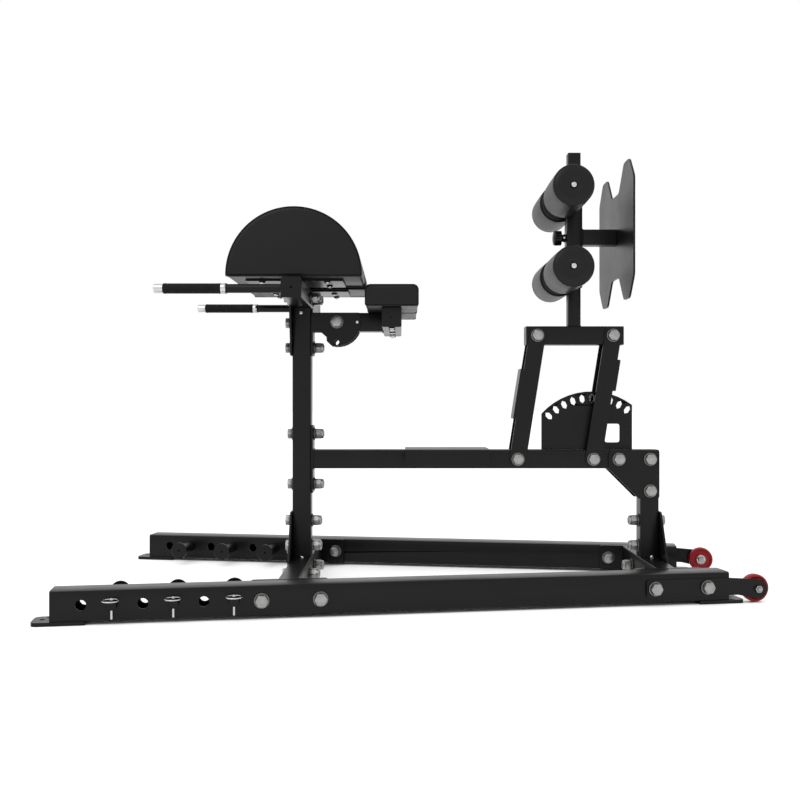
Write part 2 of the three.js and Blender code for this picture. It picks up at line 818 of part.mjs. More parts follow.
// Links, drawn upright from their lower pivots: two plates joined by a cover along one edge.
function link(coverWay, coverStart, coverLength) {
  const w = linkWidth * half;
  const outline = [
    ...arc(0, 0, w, Math.PI, 2 * Math.PI, washerSides * half),
    ...rounded([[w, linkLength, 0], [w, linkLength + w, linkTopCorner], [-w, linkLength + w, linkTopCorner],
      [-w, linkLength, 0]]),
  ];
  const holes = [0, linkLength].map((z) => pivotOutline(0, z));
  const plates = Object.values(sides).map((side) =>
    prism(outline, 'y', side * plateSeat, side * plateFace, holes));
  const coverOutline = rectangle(
    coverWay * (w - weldDepth), coverWay * (w + coverThickness), coverStart, coverStart + coverLength,
  );
  return join(...plates, prism(coverOutline, 'y', -plateFace, plateFace));
}

// A fluted knob with a domed outer face, drawn along Y from its flat inner face.
function knob(start, way) {
  const flank = start + way * (knobLength - knobDome);
  const points = circle(0, 0, knobRadius, knobFlutes * 2).map((p, i) =>
    p.setLength(i % 2 === 0 ? knobRadius - knobFluteDepth : knobRadius));
  const dome = turned([
    [0, flank - way * weldDepth], [knobRadius - knobFluteDepth, flank - way * weldDepth],
    [knobRadius - knobFluteDepth, flank], [knobRadius - knobFluteDepth - knobDome, flank + way * knobDome],
    [0, flank + way * knobDome],
  ], roundSides);
  return join(prism(points, 'y', start, flank), dome);
}

const lockKnobSeat = plateFace + lockBarrelLength + lockPinTravel + clearance;

function rearLink() {
  const barrel = rod('y', lockBarrelRadius, plateFace - weldDepth, plateFace + lockBarrelLength,
    0, indexSlotRadius, washerSides);
  const bore = rod('y', lockPinRadius + clearance, halfTube - overrun, plateFace + lockBarrelLength + overrun,
    0, indexSlotRadius);
  return cut(join(link(1, rearCoverStart, rearCoverLength), barrel), bore);
}

function linkLockPin() {
  const tip = indexPlateThickness * half + clearance;
  return join(rod('y', lockPinRadius, tip, lockKnobSeat + weldDepth, 0, 0), knob(lockKnobSeat, 1));
}

const lean = restLean * radians;
const linkTop = leanPoint(linkLength, restLean);

function leaningGroup(x) {
  const group = new THREE.Group();
  group.position.set(x, 0, beamHeight);
  group.rotation.y = lean;
  part.add(group);
  return group;
}

const rearLinkGroup = leaningGroup(rearPivotReach);
add('front_link', link(-1, frontCoverStart, frontCoverLength), powderCoat, leaningGroup(frontPivotReach));
add('rear_link', rearLink(), powderCoat, rearLinkGroup);
add('link_lock_pin', linkLockPin(), plastic, rearLinkGroup).position.set(0, 0, indexSlotRadius);

const pivotBolt = throughBolt('y', 0, 0, -washerSeat, washerSeat);
const pivots = {
  lower_front: [frontPivotReach, beamHeight],
  lower_rear: [rearPivotReach, beamHeight],
  upper_front: [frontPivotReach + linkTop.x, beamHeight + linkTop.y],
  upper_rear: [rearPivotReach + linkTop.x, beamHeight + linkTop.y],
};
for (const [name, [x, z]] of Object.entries(pivots)) {
  add(`${name}_pivot_bolt`, pivotBolt.clone(), zinc).position.set(x, 0, z);
}

// Upper bar and foot post, drawn from the middle of the bar.
const carrier = new THREE.Group();
carrier.position.set(frontPivotReach + pivotSpacing * half + linkTop.x, 0, beamHeight + linkTop.y);
part.add(carrier);

function footPost() {
  const barHalf = pivotSpacing * half + upperBarOverhang;
  const halfPost = postSize * half;
  const frame = join(
    frameTube('x', -barHalf, barHalf, 0, 0),
    frameCap('x', -barHalf, -barHalf + capThickness, 0, 0),
    frameCap('x', barHalf - capThickness, barHalf, 0, 0),
    tube('z', halfTube - weldDepth, postHeight, 0, 0, postSize, postSize, postWall, postCorner),
    cap('z', postHeight - capThickness, postHeight, 0, 0, postSize, postSize, postCorner),
  );
  const pivotHoles = [-1, 1].map((way) => pivotHole(way * pivotSpacing * half, 0));
  const count = adjustHolesBelow + 1 + adjustHolesAbove;
  const adjustHoles = Array.from({ length: count }, (_, i) => {
    const z = carriageHeight + (i - adjustHolesBelow) * adjustSpacing;
    return rod('x', adjustHoleRadius, -halfPost - overrun, 0, 0, z);
  });
  return cut(frame, ...pivotHoles, ...adjustHoles);
}

add('foot_post', footPost(), powderCoat, carrier);

// Foot carriage, drawn from the middle of its sleeve.
const carriage = new THREE.Group();
carriage.position.z = carriageHeight;
carrier.add(carriage);

const sleeveSize = postSize + 2 * (slideClearance + sleeveWall);
const halfSleeve = sleeveSize * half;
const rollerX = -halfSleeve - rollerShaftOffset;
const rollerHeights = { upper: upperRollerRise, lower: -lowerRollerDrop };
const rollerEnd = rollerInner + rollerLength;
const footArmEnd = halfSleeve + footArmLength;

function rollerShaft(z) {
  const shaftEnd = rollerEnd - rollerCap - clearance;
  const headSeat = rollerEnd + clearance;
  const bossEnd = rollerInner - clearance;
  return [
    rod('y', rollerBossRadius, -bossEnd, bossEnd, rollerX, z, washerSides),
    rod('y', rollerShaftRadius, -shaftEnd, shaftEnd, rollerX, z, washerSides),
    rod('y', rollerBoltRadius, -headSeat - weldDepth, headSeat + weldDepth, rollerX, z),
    ...Object.values(sides).map((side) =>
      rod('y', rollerBoltHeadRadius, side * headSeat, side * (headSeat + rollerBoltHeadHeight), rollerX, z)),
  ];
}

function footCarriage() {
  const frame = join(
    tube('z', -sleeveHalfLength, sleeveHalfLength, 0, 0, sleeveSize, sleeveSize, sleeveWall, sleeveCorner),
    tube('x', halfSleeve - weldDepth, footArmEnd, 0, 0, sleeveSize, sleeveSize, sleeveWall, sleeveCorner),
    cap('x', footArmEnd - capThickness, footArmEnd, 0, 0, sleeveSize, sleeveSize, sleeveCorner),
    rod('x', pullBarrelRadius, -halfSleeve - pullBarrelLength, -halfSleeve + weldDepth, 0, 0, washerSides),
    ...Object.values(rollerHeights).flatMap(rollerShaft),
  );
  const bore = rod('x', pullPinRadius + clearance, -halfSleeve - pullBarrelLength - overrun,
    -halfSleeve + sleeveWall + slideClearance, 0, 0);
  return cut(frame, bore);
}

function pullPin() {
  const knobFace = pullBarrelLength + pullStemShow;
  const tip = -(sleeveWall + slideClearance - clearance);
  const body = join(rod('y', pullPinRadius, tip, knobFace + weldDepth, 0, 0), knob(knobFace, 1));
  return body.rotateZ(Math.PI * half);
}

// Foot plate: one quarter of its outline in shares of its half width and half height.
const footQuarterShares = [[0.208, 0.63], [0.49, 1], [0.764, 1], [0.962, 0.744], [1, 0.687]];

function footPlateOutline() {
  const quarter = footQuarterShares.map(([y, z]) => [y * footPlateHalfWidth, z * footPlateHalfHeight]);
  const back = [...quarter].reverse();
  const r = footPlateEarRadius;
  return rounded([
    ...quarter.map(([y, z]) => [y, z, r]),
    ...back.map(([y, z]) => [y, -z, r]),
    ...quarter.map(([y, z]) => [-y, -z, r]),
    ...back.map(([y, z]) => [-y, z, r]),
  ]);
}

function footRest() {
  const seat = footArmEnd + clearance;
  return prism(footPlateOutline(), 'x', seat, seat + plateThickness);
}

// A roller between y = 0 and its capped outer end.
function roller() {
  const bore = rollerShaftRadius + rollerRunning;
  const boltBore = rollerBoltRadius + rollerRunning;
  const round = arc(rollerRadius - rollerEdge, rollerEdge, rollerEdge, -Math.PI * half, 0, cornerSteps);
  const inner = round.map((p) => [p.x, p.y]);
  const outer = [...round].reverse().map((p) => [p.x, rollerLength - p.y]);
  return turned([
    [bore, 0], ...inner, ...outer, [boltBore, rollerLength],
    [boltBore, rollerLength - rollerCap], [bore, rollerLength - rollerCap],
  ], rollerSides);
}

add('foot_carriage', footCarriage(), powderCoat, carriage);
add('foot_plate', footRest(), powderCoat, carriage);
add('carriage_pull_pin', pullPin(), plastic, carriage).position.set(-halfSleeve, 0, 0);
for (const [level, z] of Object.entries(rollerHeights)) {
  for (const [name, side] of Object.entries(sides)) {
    const mesh = add(`${name}_${level}_roller`, roller(), vinyl, carriage);
    mesh.position.set(rollerX, side * rollerInner, z);
    mesh.rotation.x = side < 0 ? Math.PI : 0;
  }
}

// Pad crossbar with its head plate and handles.
function padCrossbar() {
  const bar = join(
    frameTube('y', -padBarHalfLength, padBarHalfLength, 0, padBarHeight),
    frameCap('y', -padBarHalfLength, -padBarHalfLength + capThickness, 0, padBarHeight),
    frameCap('y', padBarHalfLength - capThickness, padBarHalfLength, 0, padBarHeight),
  );
  const handleHoles = Object.values(sides).map((side) =>
    rod('x', handleRadius + clearance, -halfTube - overrun, 0, side * handleOffset, padBarHeight, roundSides));
  const bolts = [-1, 1].map((way) =>
    throughBolt('x', way * headBoltOffset, padBarHeight, -washerSeat, halfTube));
  return join(cut(bar, ...handleHoles), ...bolts);
}

function headPlate() {
  const floor = padBarFloor - headPlateDrop;
  const top = padBarFloor + headPlateRise;
  const outline = rounded([
    [-headPlateHalfFoot, floor, plateCorner], [headPlateHalfFoot, floor, plateCorner],
    [headPlateHalfTop, padBarFloor, plateCorner], [headPlateHalfTop, top, plateCorner],
    [-headPlateHalfTop, top, plateCorner], [-headPlateHalfTop, padBarFloor, plateCorner],
  ]);
  const holes = [
    ...headPostBolts.map((z) => boltOutline(0, z)),
    ...[-1, 1].map((way) => boltOutline(way * headBoltOffset, padBarHeight)),
  ];
  return prism(outline, 'x', -plateFace, -plateSeat, holes);
}

// A turned sleeve on the handle, from its start towards the free end.
function handleSleeve(radius, start, length) {
  const ring = [circle(0, 0, handleRadius + clearance, roundSides)];
  return prism(circle(0, 0, radius, roundSides), 'x', -start, -start - length, ring);
}

function handleEndCap() {
  const start = gripStart + gripLength + clearance;
  const socket = handleReach + clearance;
  const solid = rod('x', endCapRadius, -start, -socket - endCapWall, 0, 0, roundSides);
  return cut(solid, rod('x', handleRadius + clearance, -start + overrun, -socket, 0, 0, roundSides));
}

add('pad_crossbar', padCrossbar(), powderCoat);
add('head_plate', headPlate(), powderCoat);
for (const [name, side] of Object.entries(sides)) {
  const handle = new THREE.Group();
  handle.position.set(0, side * handleOffset, padBarHeight);
  part.add(handle);
  const root = halfTube - tubeWall - clearance;
  const collarStart = gripStart - clearance - collarLength;
  add(`${name}_handle_tube`, rod('x', handleRadius, -handleReach, root, 0, 0, roundSides), powderCoat, handle);
  add(`${name}_handle_collar`, handleSleeve(collarRadius, collarStart, collarLength), chrome, handle);
  add(`${name}_handle_grip`, handleSleeve(gripRadius, gripStart, gripLength), rubber, handle);
  add(`${name}_handle_end_cap`, handleEndCap(), chrome, handle);
}

// Cushions: an outline in (x, z) carried along Y, drawn in at both ends and crowned there.
// The outline is a function of the inset, so that every ring has as many points.
function cushion(outline, width, edge, crown) {
  const steps = cornerSteps + 1;
  const ends = Array.from({ length: steps }, (_, i) => {
    const turn = (i / steps) * Math.PI * half;
    return [edge * (1 - Math.sin(turn)), edge * (1 - Math.cos(turn))];
  });
  const rings = [
    ...ends.map(([inset, y]) => [inset, y]),
    [0, edge],
    [0, width - edge],
    ...[...ends].reverse().map(([inset, y]) => [inset, width - y]),
  ].map(([inset, y]) => outline(inset).map((p) => new THREE.Vector3(p.x, y, p.y)));
  const positions = rings.flat().flatMap((p) => [p.x, p.y, p.z]);
  const count = rings[0].length;
  const triangles = [];
  for (let r = 0; r + 1 < rings.length; r += 1) {
    for (let i = 0; i < count; i += 1) {
      const a = r * count + i;
      const b = r * count + ((i + 1) % count);
      triangles.push(a, b, a + count, b, b + count, a + count);
    }
  }
  const last = (rings.length - 1) * count;
  const capCentre = (ring) => ring.reduce((sum, p) => sum.add(p), new THREE.Vector3()).divideScalar(count);
  const start = capCentre(rings[0]);
  const end = capCentre(rings.at(-1));
  positions.push(start.x, start.y - crown, start.z, end.x, end.y + crown, end.z);
  const startIndex = rings.length * count;
  for (let i = 0; i < count; i += 1) {
    const next = (i + 1) % count;
    triangles.push(startIndex, next, i, startIndex + 1, last + i, last + next);
  }
  const geometry = new THREE.BufferGeometry();
  geometry.setAttribute('position', new THREE.Float32BufferAttribute(positions, 3));
  geometry.setIndex(triangles);
  return closed(geometry);
}

// A half round on a low straight foot.
function thighOutline(inset) {
  const radius = thighPadRadius - inset;
  const foot = new THREE.Vector2(radius, inset * half);
  return [foot, ...arc(0, thighPadBase, radius, 0, Math.PI, padSides), new THREE.Vector2(-radius, foot.y)];
}

function kneeOutline(inset) {
  const w = kneePadWidth * half - inset;
  const top = kneePadThickness - inset;
  const corner = kneePadCorner - inset * half;
  const foot = kneePadFootCorner;
  return rounded([[-w, inset, foot], [w, inset, foot], [w, top, corner], [-w, top, corner]]);
}

const padPlateSeat = padBarHeight + halfTube + clearance;
const thighPadSeat = padPlateSeat + plateThickness + clearance;

function thighPadPlate(side) {
  const y0 = side * padPlateInner;
  const y1 = side * (padPlateInner + padPlateWidth);
  const x0 = padPlateShift - padPlateLength * half;
  const x1 = padPlateShift + padPlateLength * half;
  const outline = rectangle(x0, x1, Math.min(y0, y1), Math.max(y0, y1), plateCorner);
  return prism(outline, 'z', padPlateSeat, padPlateSeat + plateThickness);
}

for (const [name, side] of Object.entries(sides)) {
  const start = side < 0 ? -thighPadInner - thighPadWidth : thighPadInner;
  const pad = cushion(thighOutline, thighPadWidth, thighPadEdge, thighPadCrown);
  add(`${name}_thigh_pad`, pad, vinyl).position.set(thighPadShift, start, thighPadSeat);
  add(`${name}_thigh_pad_plate`, thighPadPlate(side), powderCoat);
}

// Knee pad bracket: an end plate on the upright and two cheeks that end in the index disc.
const kneePivotHeight = padBarFloor - kneePivotDrop;

function kneeCheek(side) {
  const r = kneeDiscRadius;
  const rise = Math.asin(halfTube / r);
  const startX = plateFace - weldDepth - kneePivotReach;
  const arcPoints = arc(0, 0, r, rise, -kneeDiscEnd * radians, roundSides);
  const notch = arcPoints.at(-1);
  const outline = [
    new THREE.Vector2(startX, -halfTube),
    new THREE.Vector2(startX, halfTube),
    ...arcPoints,
    new THREE.Vector2(notch.x - kneeLockSlotWidth, notch.y + kneeLockSlotWidth),
    new THREE.Vector2(notch.x - kneeLockSlotWidth, notch.y + kneeLockSlotLength + plateThickness),
    new THREE.Vector2(notch.x - halfTube - plateThickness, -halfTube),
  ];
  const holes = [
    pivotOutline(0, 0),
    circle(kneeLockRadius, 0, kneeLockPinRadius + clearance, shankSides),
    obround(0, -kneeLockRadius, kneeLockSlotWidth, kneeLockSlotLength, 0, slotSteps),
  ];
  const cheek = prism(outline, 'y', side * plateSeat, side * plateFace, holes);
  return cheek.translate(kneePivotReach, 0, kneePivotHeight);
}

function kneeBracket() {
  const top = padBarFloor - kneePlateTop;
  const outline = rectangle(-kneePlateHalfWidth - clearance, kneePlateHalfWidth + clearance,
    top - kneePlateHeight, top, plateCorner);
  const holes = headPostBolts.map((z) => boltOutline(0, z));
  return join(
    prism(outline, 'x', plateSeat, plateFace, holes),
    kneeCheek(sides.near),
    kneeCheek(sides.far),
  );
}

// The arm is drawn from its pivot, with the crossbar welded across its end.
function kneeArm() {
  const barX = kneeArmReach + halfTube;
  const frame = join(
    frameTube('x', -kneeArmTail, kneeArmReach + weldDepth, 0, 0),
    frameTube('y', -kneeBarHalfLength, kneeBarHalfLength, barX, 0),
    frameCap('y', -kneeBarHalfLength, -kneeBarHalfLength + capThickness, barX, 0),
    frameCap('y', kneeBarHalfLength - capThickness, kneeBarHalfLength, barX, 0),
  );
  return cut(
    frame,
    pivotHole(0, 0),
    rod('y', kneeLockPinRadius + clearance, -halfTube - overrun, halfTube + overrun, kneeLockRadius, 0),
  );
}

const knee = new THREE.Group();
knee.position.set(kneePivotReach, 0, kneePivotHeight);
part.add(knee);
add('knee_bracket', kneeBracket(), powderCoat);
add('knee_pivot_bolt', pivotBolt.clone(), zinc, knee);
add('knee_arm', kneeArm(), powderCoat, knee);
const kneeLockPin = rod('y', kneeLockPinRadius, -halfTube, halfTube, kneeLockRadius, 0);
add('knee_lock_pin', kneeLockPin, zinc, knee);
for (const [name, side] of Object.entries(sides)) {
  const width = kneePadHalfSpan - kneePadGap - kneePadCrown;
  const pad = cushion(kneeOutline, width, kneePadEdge, kneePadCrown);
  const start = side < 0 ? -kneePadGap - width : kneePadGap;
  const x = kneeArmReach + halfTube + kneePadShift;
  add(`${name}_knee_pad`, pad, vinyl, knee).position.set(x, start, halfTube + clearance);
}

// The part stands on the floor with its origin under the middle of its length.
part.updateMatrixWorld(true);
const extent = new THREE.Box3().setFromObject(part);
part.position.x = -(extent.min.x + extent.max.x) * half;

export default part;
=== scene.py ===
"""Looks of the glute ham developer, built round its packed steel frame.

Lengths are written in millimetres and become metres where a mesh is made. Places on the machine
are counted as in its drawings: x from the front upright's centre line towards the foot end,
y across, z up from the floor.
"""

import math

import bmesh
import bpy
import numpy as np
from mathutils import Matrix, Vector


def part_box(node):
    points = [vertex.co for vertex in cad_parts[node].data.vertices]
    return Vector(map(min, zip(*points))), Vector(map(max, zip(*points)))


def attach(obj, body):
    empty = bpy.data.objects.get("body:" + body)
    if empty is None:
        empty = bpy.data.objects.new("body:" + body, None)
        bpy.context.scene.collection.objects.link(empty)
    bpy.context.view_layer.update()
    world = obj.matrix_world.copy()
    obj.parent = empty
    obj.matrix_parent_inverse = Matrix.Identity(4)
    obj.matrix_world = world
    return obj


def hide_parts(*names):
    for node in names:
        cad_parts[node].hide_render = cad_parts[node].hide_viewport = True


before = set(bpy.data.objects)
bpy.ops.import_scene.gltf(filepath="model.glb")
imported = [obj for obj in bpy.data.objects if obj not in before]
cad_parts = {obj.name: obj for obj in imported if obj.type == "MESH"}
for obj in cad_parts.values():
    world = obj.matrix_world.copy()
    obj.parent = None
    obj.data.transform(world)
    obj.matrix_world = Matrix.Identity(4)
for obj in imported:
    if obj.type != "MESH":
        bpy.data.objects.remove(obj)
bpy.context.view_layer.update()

METRES = 0.001
MERGE_DISTANCE = 2e-6
FIT = 0.3

# Places on the steel
HALF_TUBE = 25
UPRIGHT_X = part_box("front_base_plate")[1].x / METRES + HALF_TUBE + FIT
SIDES = {"near": -1, "far": 1}
REAR_X = 931
WASHER_SEAT = 30.6
BEAM_Z = 341.3
PIVOT_SPACING = 202
REAR_PIVOT = (779.8, BEAM_Z)
LINK_LENGTH = 335
REST_LEAN = math.radians(9)
LEAN_X = LINK_LENGTH * math.sin(REST_LEAN)
LEAN_Z = LINK_LENGTH * math.cos(REST_LEAN)
POST_X = REAR_PIVOT[0] - PIVOT_SPACING / 2 + LEAN_X
CARRIAGE_Z = BEAM_Z + LEAN_Z + 264
HALF_SLEEVE = 21
PAD_BAR_Z = 772
KNEE_PIVOT = (94.5, 708)
HANDLE_Y = 267
BACK = (-1, 0, 0)


# Shapes are a pair: an array of points in millimetres, and an array of faces with four corners

def tiled(grid):
    """A grid of points, rows by columns, with one face in every cell. The last column joins the first."""
    rows, columns = grid.shape[:2]
    here = np.arange(rows * columns).reshape(rows, columns)
    right = np.roll(here, -1, axis=1)
    corners = [here[:-1], right[:-1], right[1:], here[1:]]
    return grid.reshape(-1, 3), np.stack(corners, axis=-1).reshape(-1, 4)


def turned(profile, sides=40, across=None, lobes=0, depth=0.0):
    """Radius and height pairs carried round the z axis: x = r cos a, y = r sin a, z = h.
    across trims each radius to a hexagon of that width, r = min(r, across / 2 / cos(a mod 60 - 30)).
    lobes draws the radius in between so many ridges, by depth at most."""
    radius, height = np.array(profile, float).T
    angle = np.arange(sides) * math.tau / sides
    r = np.repeat(radius[:, None], sides, axis=1)
    if across:
        flat = across / 2 / np.cos(np.mod(angle, math.pi / 3) - math.pi / 6)
        r = np.minimum(r, flat)
    if lobes:
        groove = 0.5 - 0.5 * np.cos(angle * lobes)
        outer = radius > 0.8 * radius.max()
        r = r - depth * groove * outer[:, None]
    h = np.repeat(height[:, None], sides, axis=1)
    return tiled(np.stack([r * np.cos(angle), r * np.sin(angle), h], axis=-1))


def threaded(radius, start, end, pitch=2.0, depth=0.55, sides=24):
    """A screw thread between two heights, drawn in at its tip:
    r = radius - depth * saw(h / pitch - a / 360)."""
    rows = int(abs(end - start) / pitch * 6) + 2
    height = np.linspace(start, end, rows)[:, None]
    angle = (np.arange(sides) * math.tau / sides)[None, :]
    saw = np.abs(2 * np.mod(height / pitch - angle / math.tau, 1) - 1)
    tip = np.clip(1 - np.abs(height - end) / 1.2, 0, 1)
    r = radius - depth * saw - tip
    r[-1] = 0
    return tiled(np.stack([r * np.cos(angle), r * np.sin(angle), height + 0 * angle], axis=-1))


def rounded_bar(radius, edge, start, end, steps):
    """The profile of a solid round bar whose two rims are rounded by edge."""
    turn = np.linspace(0, math.pi / 2, steps)
    way = 1 if end > start else -1
    low = [(radius - edge + edge * math.sin(t), start + way * edge * (1 - math.cos(t))) for t in turn]
    high = [(radius - edge + edge * math.cos(t), end - way * edge * (1 - math.sin(t))) for t in turn]
    return [(0, start), *low, *high, (0, end)]


def swept(path, section, normal=(0, 1, 0)):
    """A section of across and up offsets carried round a closed path of points. Up is the given
    normal and across is at right angles to it and to the path."""
    path = np.array(path, float)
    along = np.roll(path, -1, axis=0) - np.roll(path, 1, axis=0)
    along /= np.linalg.norm(along, axis=1, keepdims=True)
    across = np.cross(along, np.array(normal, float))
    across /= np.linalg.norm(across, axis=1, keepdims=True)
    grid = (path[:, None] + section[None, :, :1] * across[:, None]
            + section[None, :, 1:] * np.cross(across, along)[:, None])
    return tiled(np.concatenate([grid, grid[:1]]))


def ring_section(radius, sides):
    """The corners of a round wire's section."""
    angle = np.arange(sides) * math.tau / sides
    return np.stack([radius * np.cos(angle), radius * np.sin(angle)], axis=1)


def aimed(shape, at, way):
    """Turns a shape's z axis to way, and moves its origin to at."""
    points, faces = shape
    z = np.array(way, float) / np.linalg.norm(way)
    side = np.array([0, 0, 1.0]) if abs(z[2]) < 0.9 else np.array([1.0, 0, 0])
    x = np.cross(side, z) / np.linalg.norm(np.cross(side, z))
    return points @ np.array([x, np.cross(z, x), z]) + np.array(at, float), faces


def joined(*shapes):
    """Several shapes as one, with the faces' corner numbers moved on."""
    points, faces = zip(*shapes)
    starts = np.cumsum([0] + [len(part) for part in points[:-1]])
    return np.concatenate(points), np.concatenate([part + start for part, start in zip(faces, starts)])


def mirrored(shape):
    """The same shape on the other side of the centre line."""
    points, faces = shape
    return points * np.array([1, -1, 1]), faces[:, ::-1]


def place(x, y, z):
    """A place on the machine, moved into the steel's own frame, still in millimetres."""
    return np.array([x + UPRIGHT_X, y, z], float)


def linked(name, data):
    """Puts a mesh, lamp or camera into the scene as an object."""
    made = bpy.data.objects.new(name, data)
    bpy.context.scene.collection.objects.link(made)
    return made


def solid_mesh(name, shape):
    """A shape as a mesh in metres, with its seams merged and its faces turned outwards."""
    points, faces = shape
    mesh = bpy.data.meshes.new(name)
    mesh.from_pydata((points * METRES).tolist(), [], faces.tolist())
    work = bmesh.new()
    work.from_mesh(mesh)
    bmesh.ops.remove_doubles(work, verts=work.verts, dist=MERGE_DISTANCE)
    bmesh.ops.recalc_face_normals(work, faces=work.faces)
    work.to_mesh(mesh)
    work.free()
    return mesh


def piece(name, shape, slot, body, sharp=40, stands_for=()):
    """Makes a shape an object that rides a body of the frame, in the finish of its slot. Edges over
    the given angle stay sharp, and none does where it is None."""
    mesh = solid_mesh(name, shape)
    mesh.shade_smooth()
    if sharp:
        mesh.set_sharp_from_angle(angle=math.radians(sharp))
    mesh.materials.append(FINISHES[slot])
    made = linked(name, mesh)
    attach(made, body)
    if stands_for:
        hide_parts(*stands_for)
    return made


# Node helpers

def node(tree, kind, feeds=(), **settings):
    """Adds a node. feeds gives its inputs a value or another node's output."""
    made = tree.nodes.new(kind)
    for key, value in settings.items():
        setattr(made, key, value)
    for socket, value in dict(feeds).items():
        if isinstance(value, bpy.types.NodeSocket):
            tree.links.new(value, made.inputs[socket])
        else:
            made.inputs[socket].default_value = value
    return made


def shader_group(name, inputs, outputs):
    """An empty shader node group with named number inputs and outputs."""
    tree = bpy.data.node_groups.new(name, "ShaderNodeTree")
    for label, value in inputs.items():
        socket = tree.interface.new_socket(label, in_out="INPUT", socket_type="NodeSocketFloat")
        socket.default_value = value
    for label in outputs:
        tree.interface.new_socket(label, in_out="OUTPUT", socket_type="NodeSocketFloat")
    return tree, tree.nodes.new("NodeGroupInput").outputs, tree.nodes.new("NodeGroupOutput").inputs


def orange_peel():
    """Sprayed and baked coat: fine round grains on longer soft waves, as a height."""
    tree, given, gives = shader_group("orange_peel", {"Grain": 900.0, "Waves": 120.0}, ["Height"])
    where = node(tree, "ShaderNodeTexCoord").outputs["Object"]
    fine = node(tree, "ShaderNodeTexNoise", {"Vector": where, "Scale": given["Grain"], "Detail": 1.0})
    wide = node(tree, "ShaderNodeTexNoise", {"Vector": where, "Scale": given["Waves"], "Detail": 2.0})
    both = node(tree, "ShaderNodeMath", {0: fine.outputs["Fac"], 1: wide.outputs["Fac"]}, operation="ADD")
    tree.links.new(both.outputs[0], gives["Height"])
    return tree


def leather_grain_and_crease_shade():
    """Embossed vinyl: rounded cells between creases, broken up by noise, as a height and a mask of painted
    shade in the creases.
    """
    tree, given, gives = shader_group("leather_grain_and_crease_shade", {"Cells": 420.0}, ["Height", "Crease Shade"])
    where = node(tree, "ShaderNodeTexCoord").outputs["Object"]
    bend = node(tree, "ShaderNodeTexNoise", {"Vector": where, "Scale": 160.0, "Detail": 2.0})
    amount = node(tree, "ShaderNodeVectorMath", {0: bend.outputs["Color"], 1: (0.004, 0.004, 0.004)},
                  operation="MULTIPLY")
    moved = node(tree, "ShaderNodeVectorMath", {0: where, 1: amount.outputs[0]}, operation="ADD")
    cells = node(tree, "ShaderNodeTexVoronoi", {"Vector": moved.outputs[0], "Scale": given["Cells"]},
                 feature="DISTANCE_TO_EDGE")
    rise = node(tree, "ShaderNodeMapRange",
                {"Value": cells.outputs["Distance"], "From Min": 0.0, "From Max": 0.22},
                interpolation_type="SMOOTHSTEP")
    # The low lines between cells, where the creases are painted darker: painted shade.
    low = node(tree, "ShaderNodeMath", {0: 1.0, 1: rise.outputs["Result"]}, operation="SUBTRACT")
    tree.links.new(rise.outputs["Result"], gives["Height"])
    tree.links.new(low.outputs[0], gives["Crease Shade"])
    return tree


def handled():
    """Wide cloudy patches from hands and wiping, from low to high."""
    tree, given, gives = shader_group("handled", {"Patches": 7.0, "Low": 0.4, "High": 0.5}, ["Value"])
    where = node(tree, "ShaderNodeTexCoord").outputs["Object"]
    cloud = node(tree, "ShaderNodeTexNoise",
                 {"Vector": where, "Scale": given["Patches"], "Detail": 5.0, "Roughness": 0.6})
    spread = node(tree, "ShaderNodeMapRange",
                  {"Value": cloud.outputs["Fac"], "From Min": 0.3, "From Max": 0.7,
                   "To Min": given["Low"], "To Max": given["High"]})
    tree.links.new(spread.outputs["Result"], gives["Value"])
    return tree


def settled_dust():
    """A thin mask of dust on faces that look up, thinned by noise."""
    tree, given, gives = shader_group("settled_dust", {"Amount": 0.1}, ["Mask"])
    where = node(tree, "ShaderNodeTexCoord").outputs["Object"]
    facing = node(tree, "ShaderNodeNewGeometry").outputs["Normal"]
    up = node(tree, "ShaderNodeSeparateXYZ", {"Vector": facing})
    patch = node(tree, "ShaderNodeTexNoise", {"Vector": where, "Scale": 60.0, "Detail": 6.0})
    lit = node(tree, "ShaderNodeMapRange", {"Value": up.outputs["Z"], "From Min": 0.6, "From Max": 1.0})
    thin = node(tree, "ShaderNodeMath", {0: lit.outputs["Result"], 1: patch.outputs["Fac"]},
                operation="MULTIPLY")
    much = node(tree, "ShaderNodeMath", {0: thin.outputs[0], 1: given["Amount"]}, operation="MULTIPLY")
    tree.links.new(much.outputs[0], gives["Mask"])
    return tree


def fine_scratches():
    """Short scratches one way from polishing, as a height between nought and one."""
    tree, given, gives = shader_group("fine_scratches", {"Scratches": 900.0, "Stretch": 0.05}, ["Height"])
    where = node(tree, "ShaderNodeTexCoord").outputs["Object"]
    parts = node(tree, "ShaderNodeSeparateXYZ", {"Vector": where})
    squeezed = node(tree, "ShaderNodeMath", {0: parts.outputs["X"], 1: given["Stretch"]},
                    operation="MULTIPLY")
    vector = node(tree, "ShaderNodeCombineXYZ",
                  {"X": squeezed.outputs[0], "Y": parts.outputs["Y"], "Z": parts.outputs["Z"]})
    lines = node(tree, "ShaderNodeTexNoise",
                 {"Vector": vector.outputs[0], "Scale": given["Scratches"], "Detail": 3.0})
    tree.links.new(lines.outputs["Fac"], gives["Height"])
    return tree


def crevice_shade():
    """A mask of painted shade in corners and under heads, from how much of the sky a spot sees within
    reach.
    """
    plain = {"Reach": 0.006, "Open": 0.97, "Shut": 0.62}
    tree, given, gives = shader_group("crevice_shade", plain, ["Mask"])
    open_sky = node(tree, "ShaderNodeAmbientOcclusion", {"Distance": given["Reach"]}, samples=8)
    mask = node(tree, "ShaderNodeMapRange",
                {"Value": open_sky.outputs["AO"], "From Min": given["Open"], "From Max": given["Shut"]})
    tree.links.new(mask.outputs["Result"], gives["Mask"])
    return tree


ORANGE_PEEL = orange_peel()
LEATHER_GRAIN_AND_CREASE_SHADE = leather_grain_and_crease_shade()
HANDLED = handled()
SETTLED_DUST = settled_dust()
FINE_SCRATCHES = fine_scratches()
CREVICE_SHADE = crevice_shade()


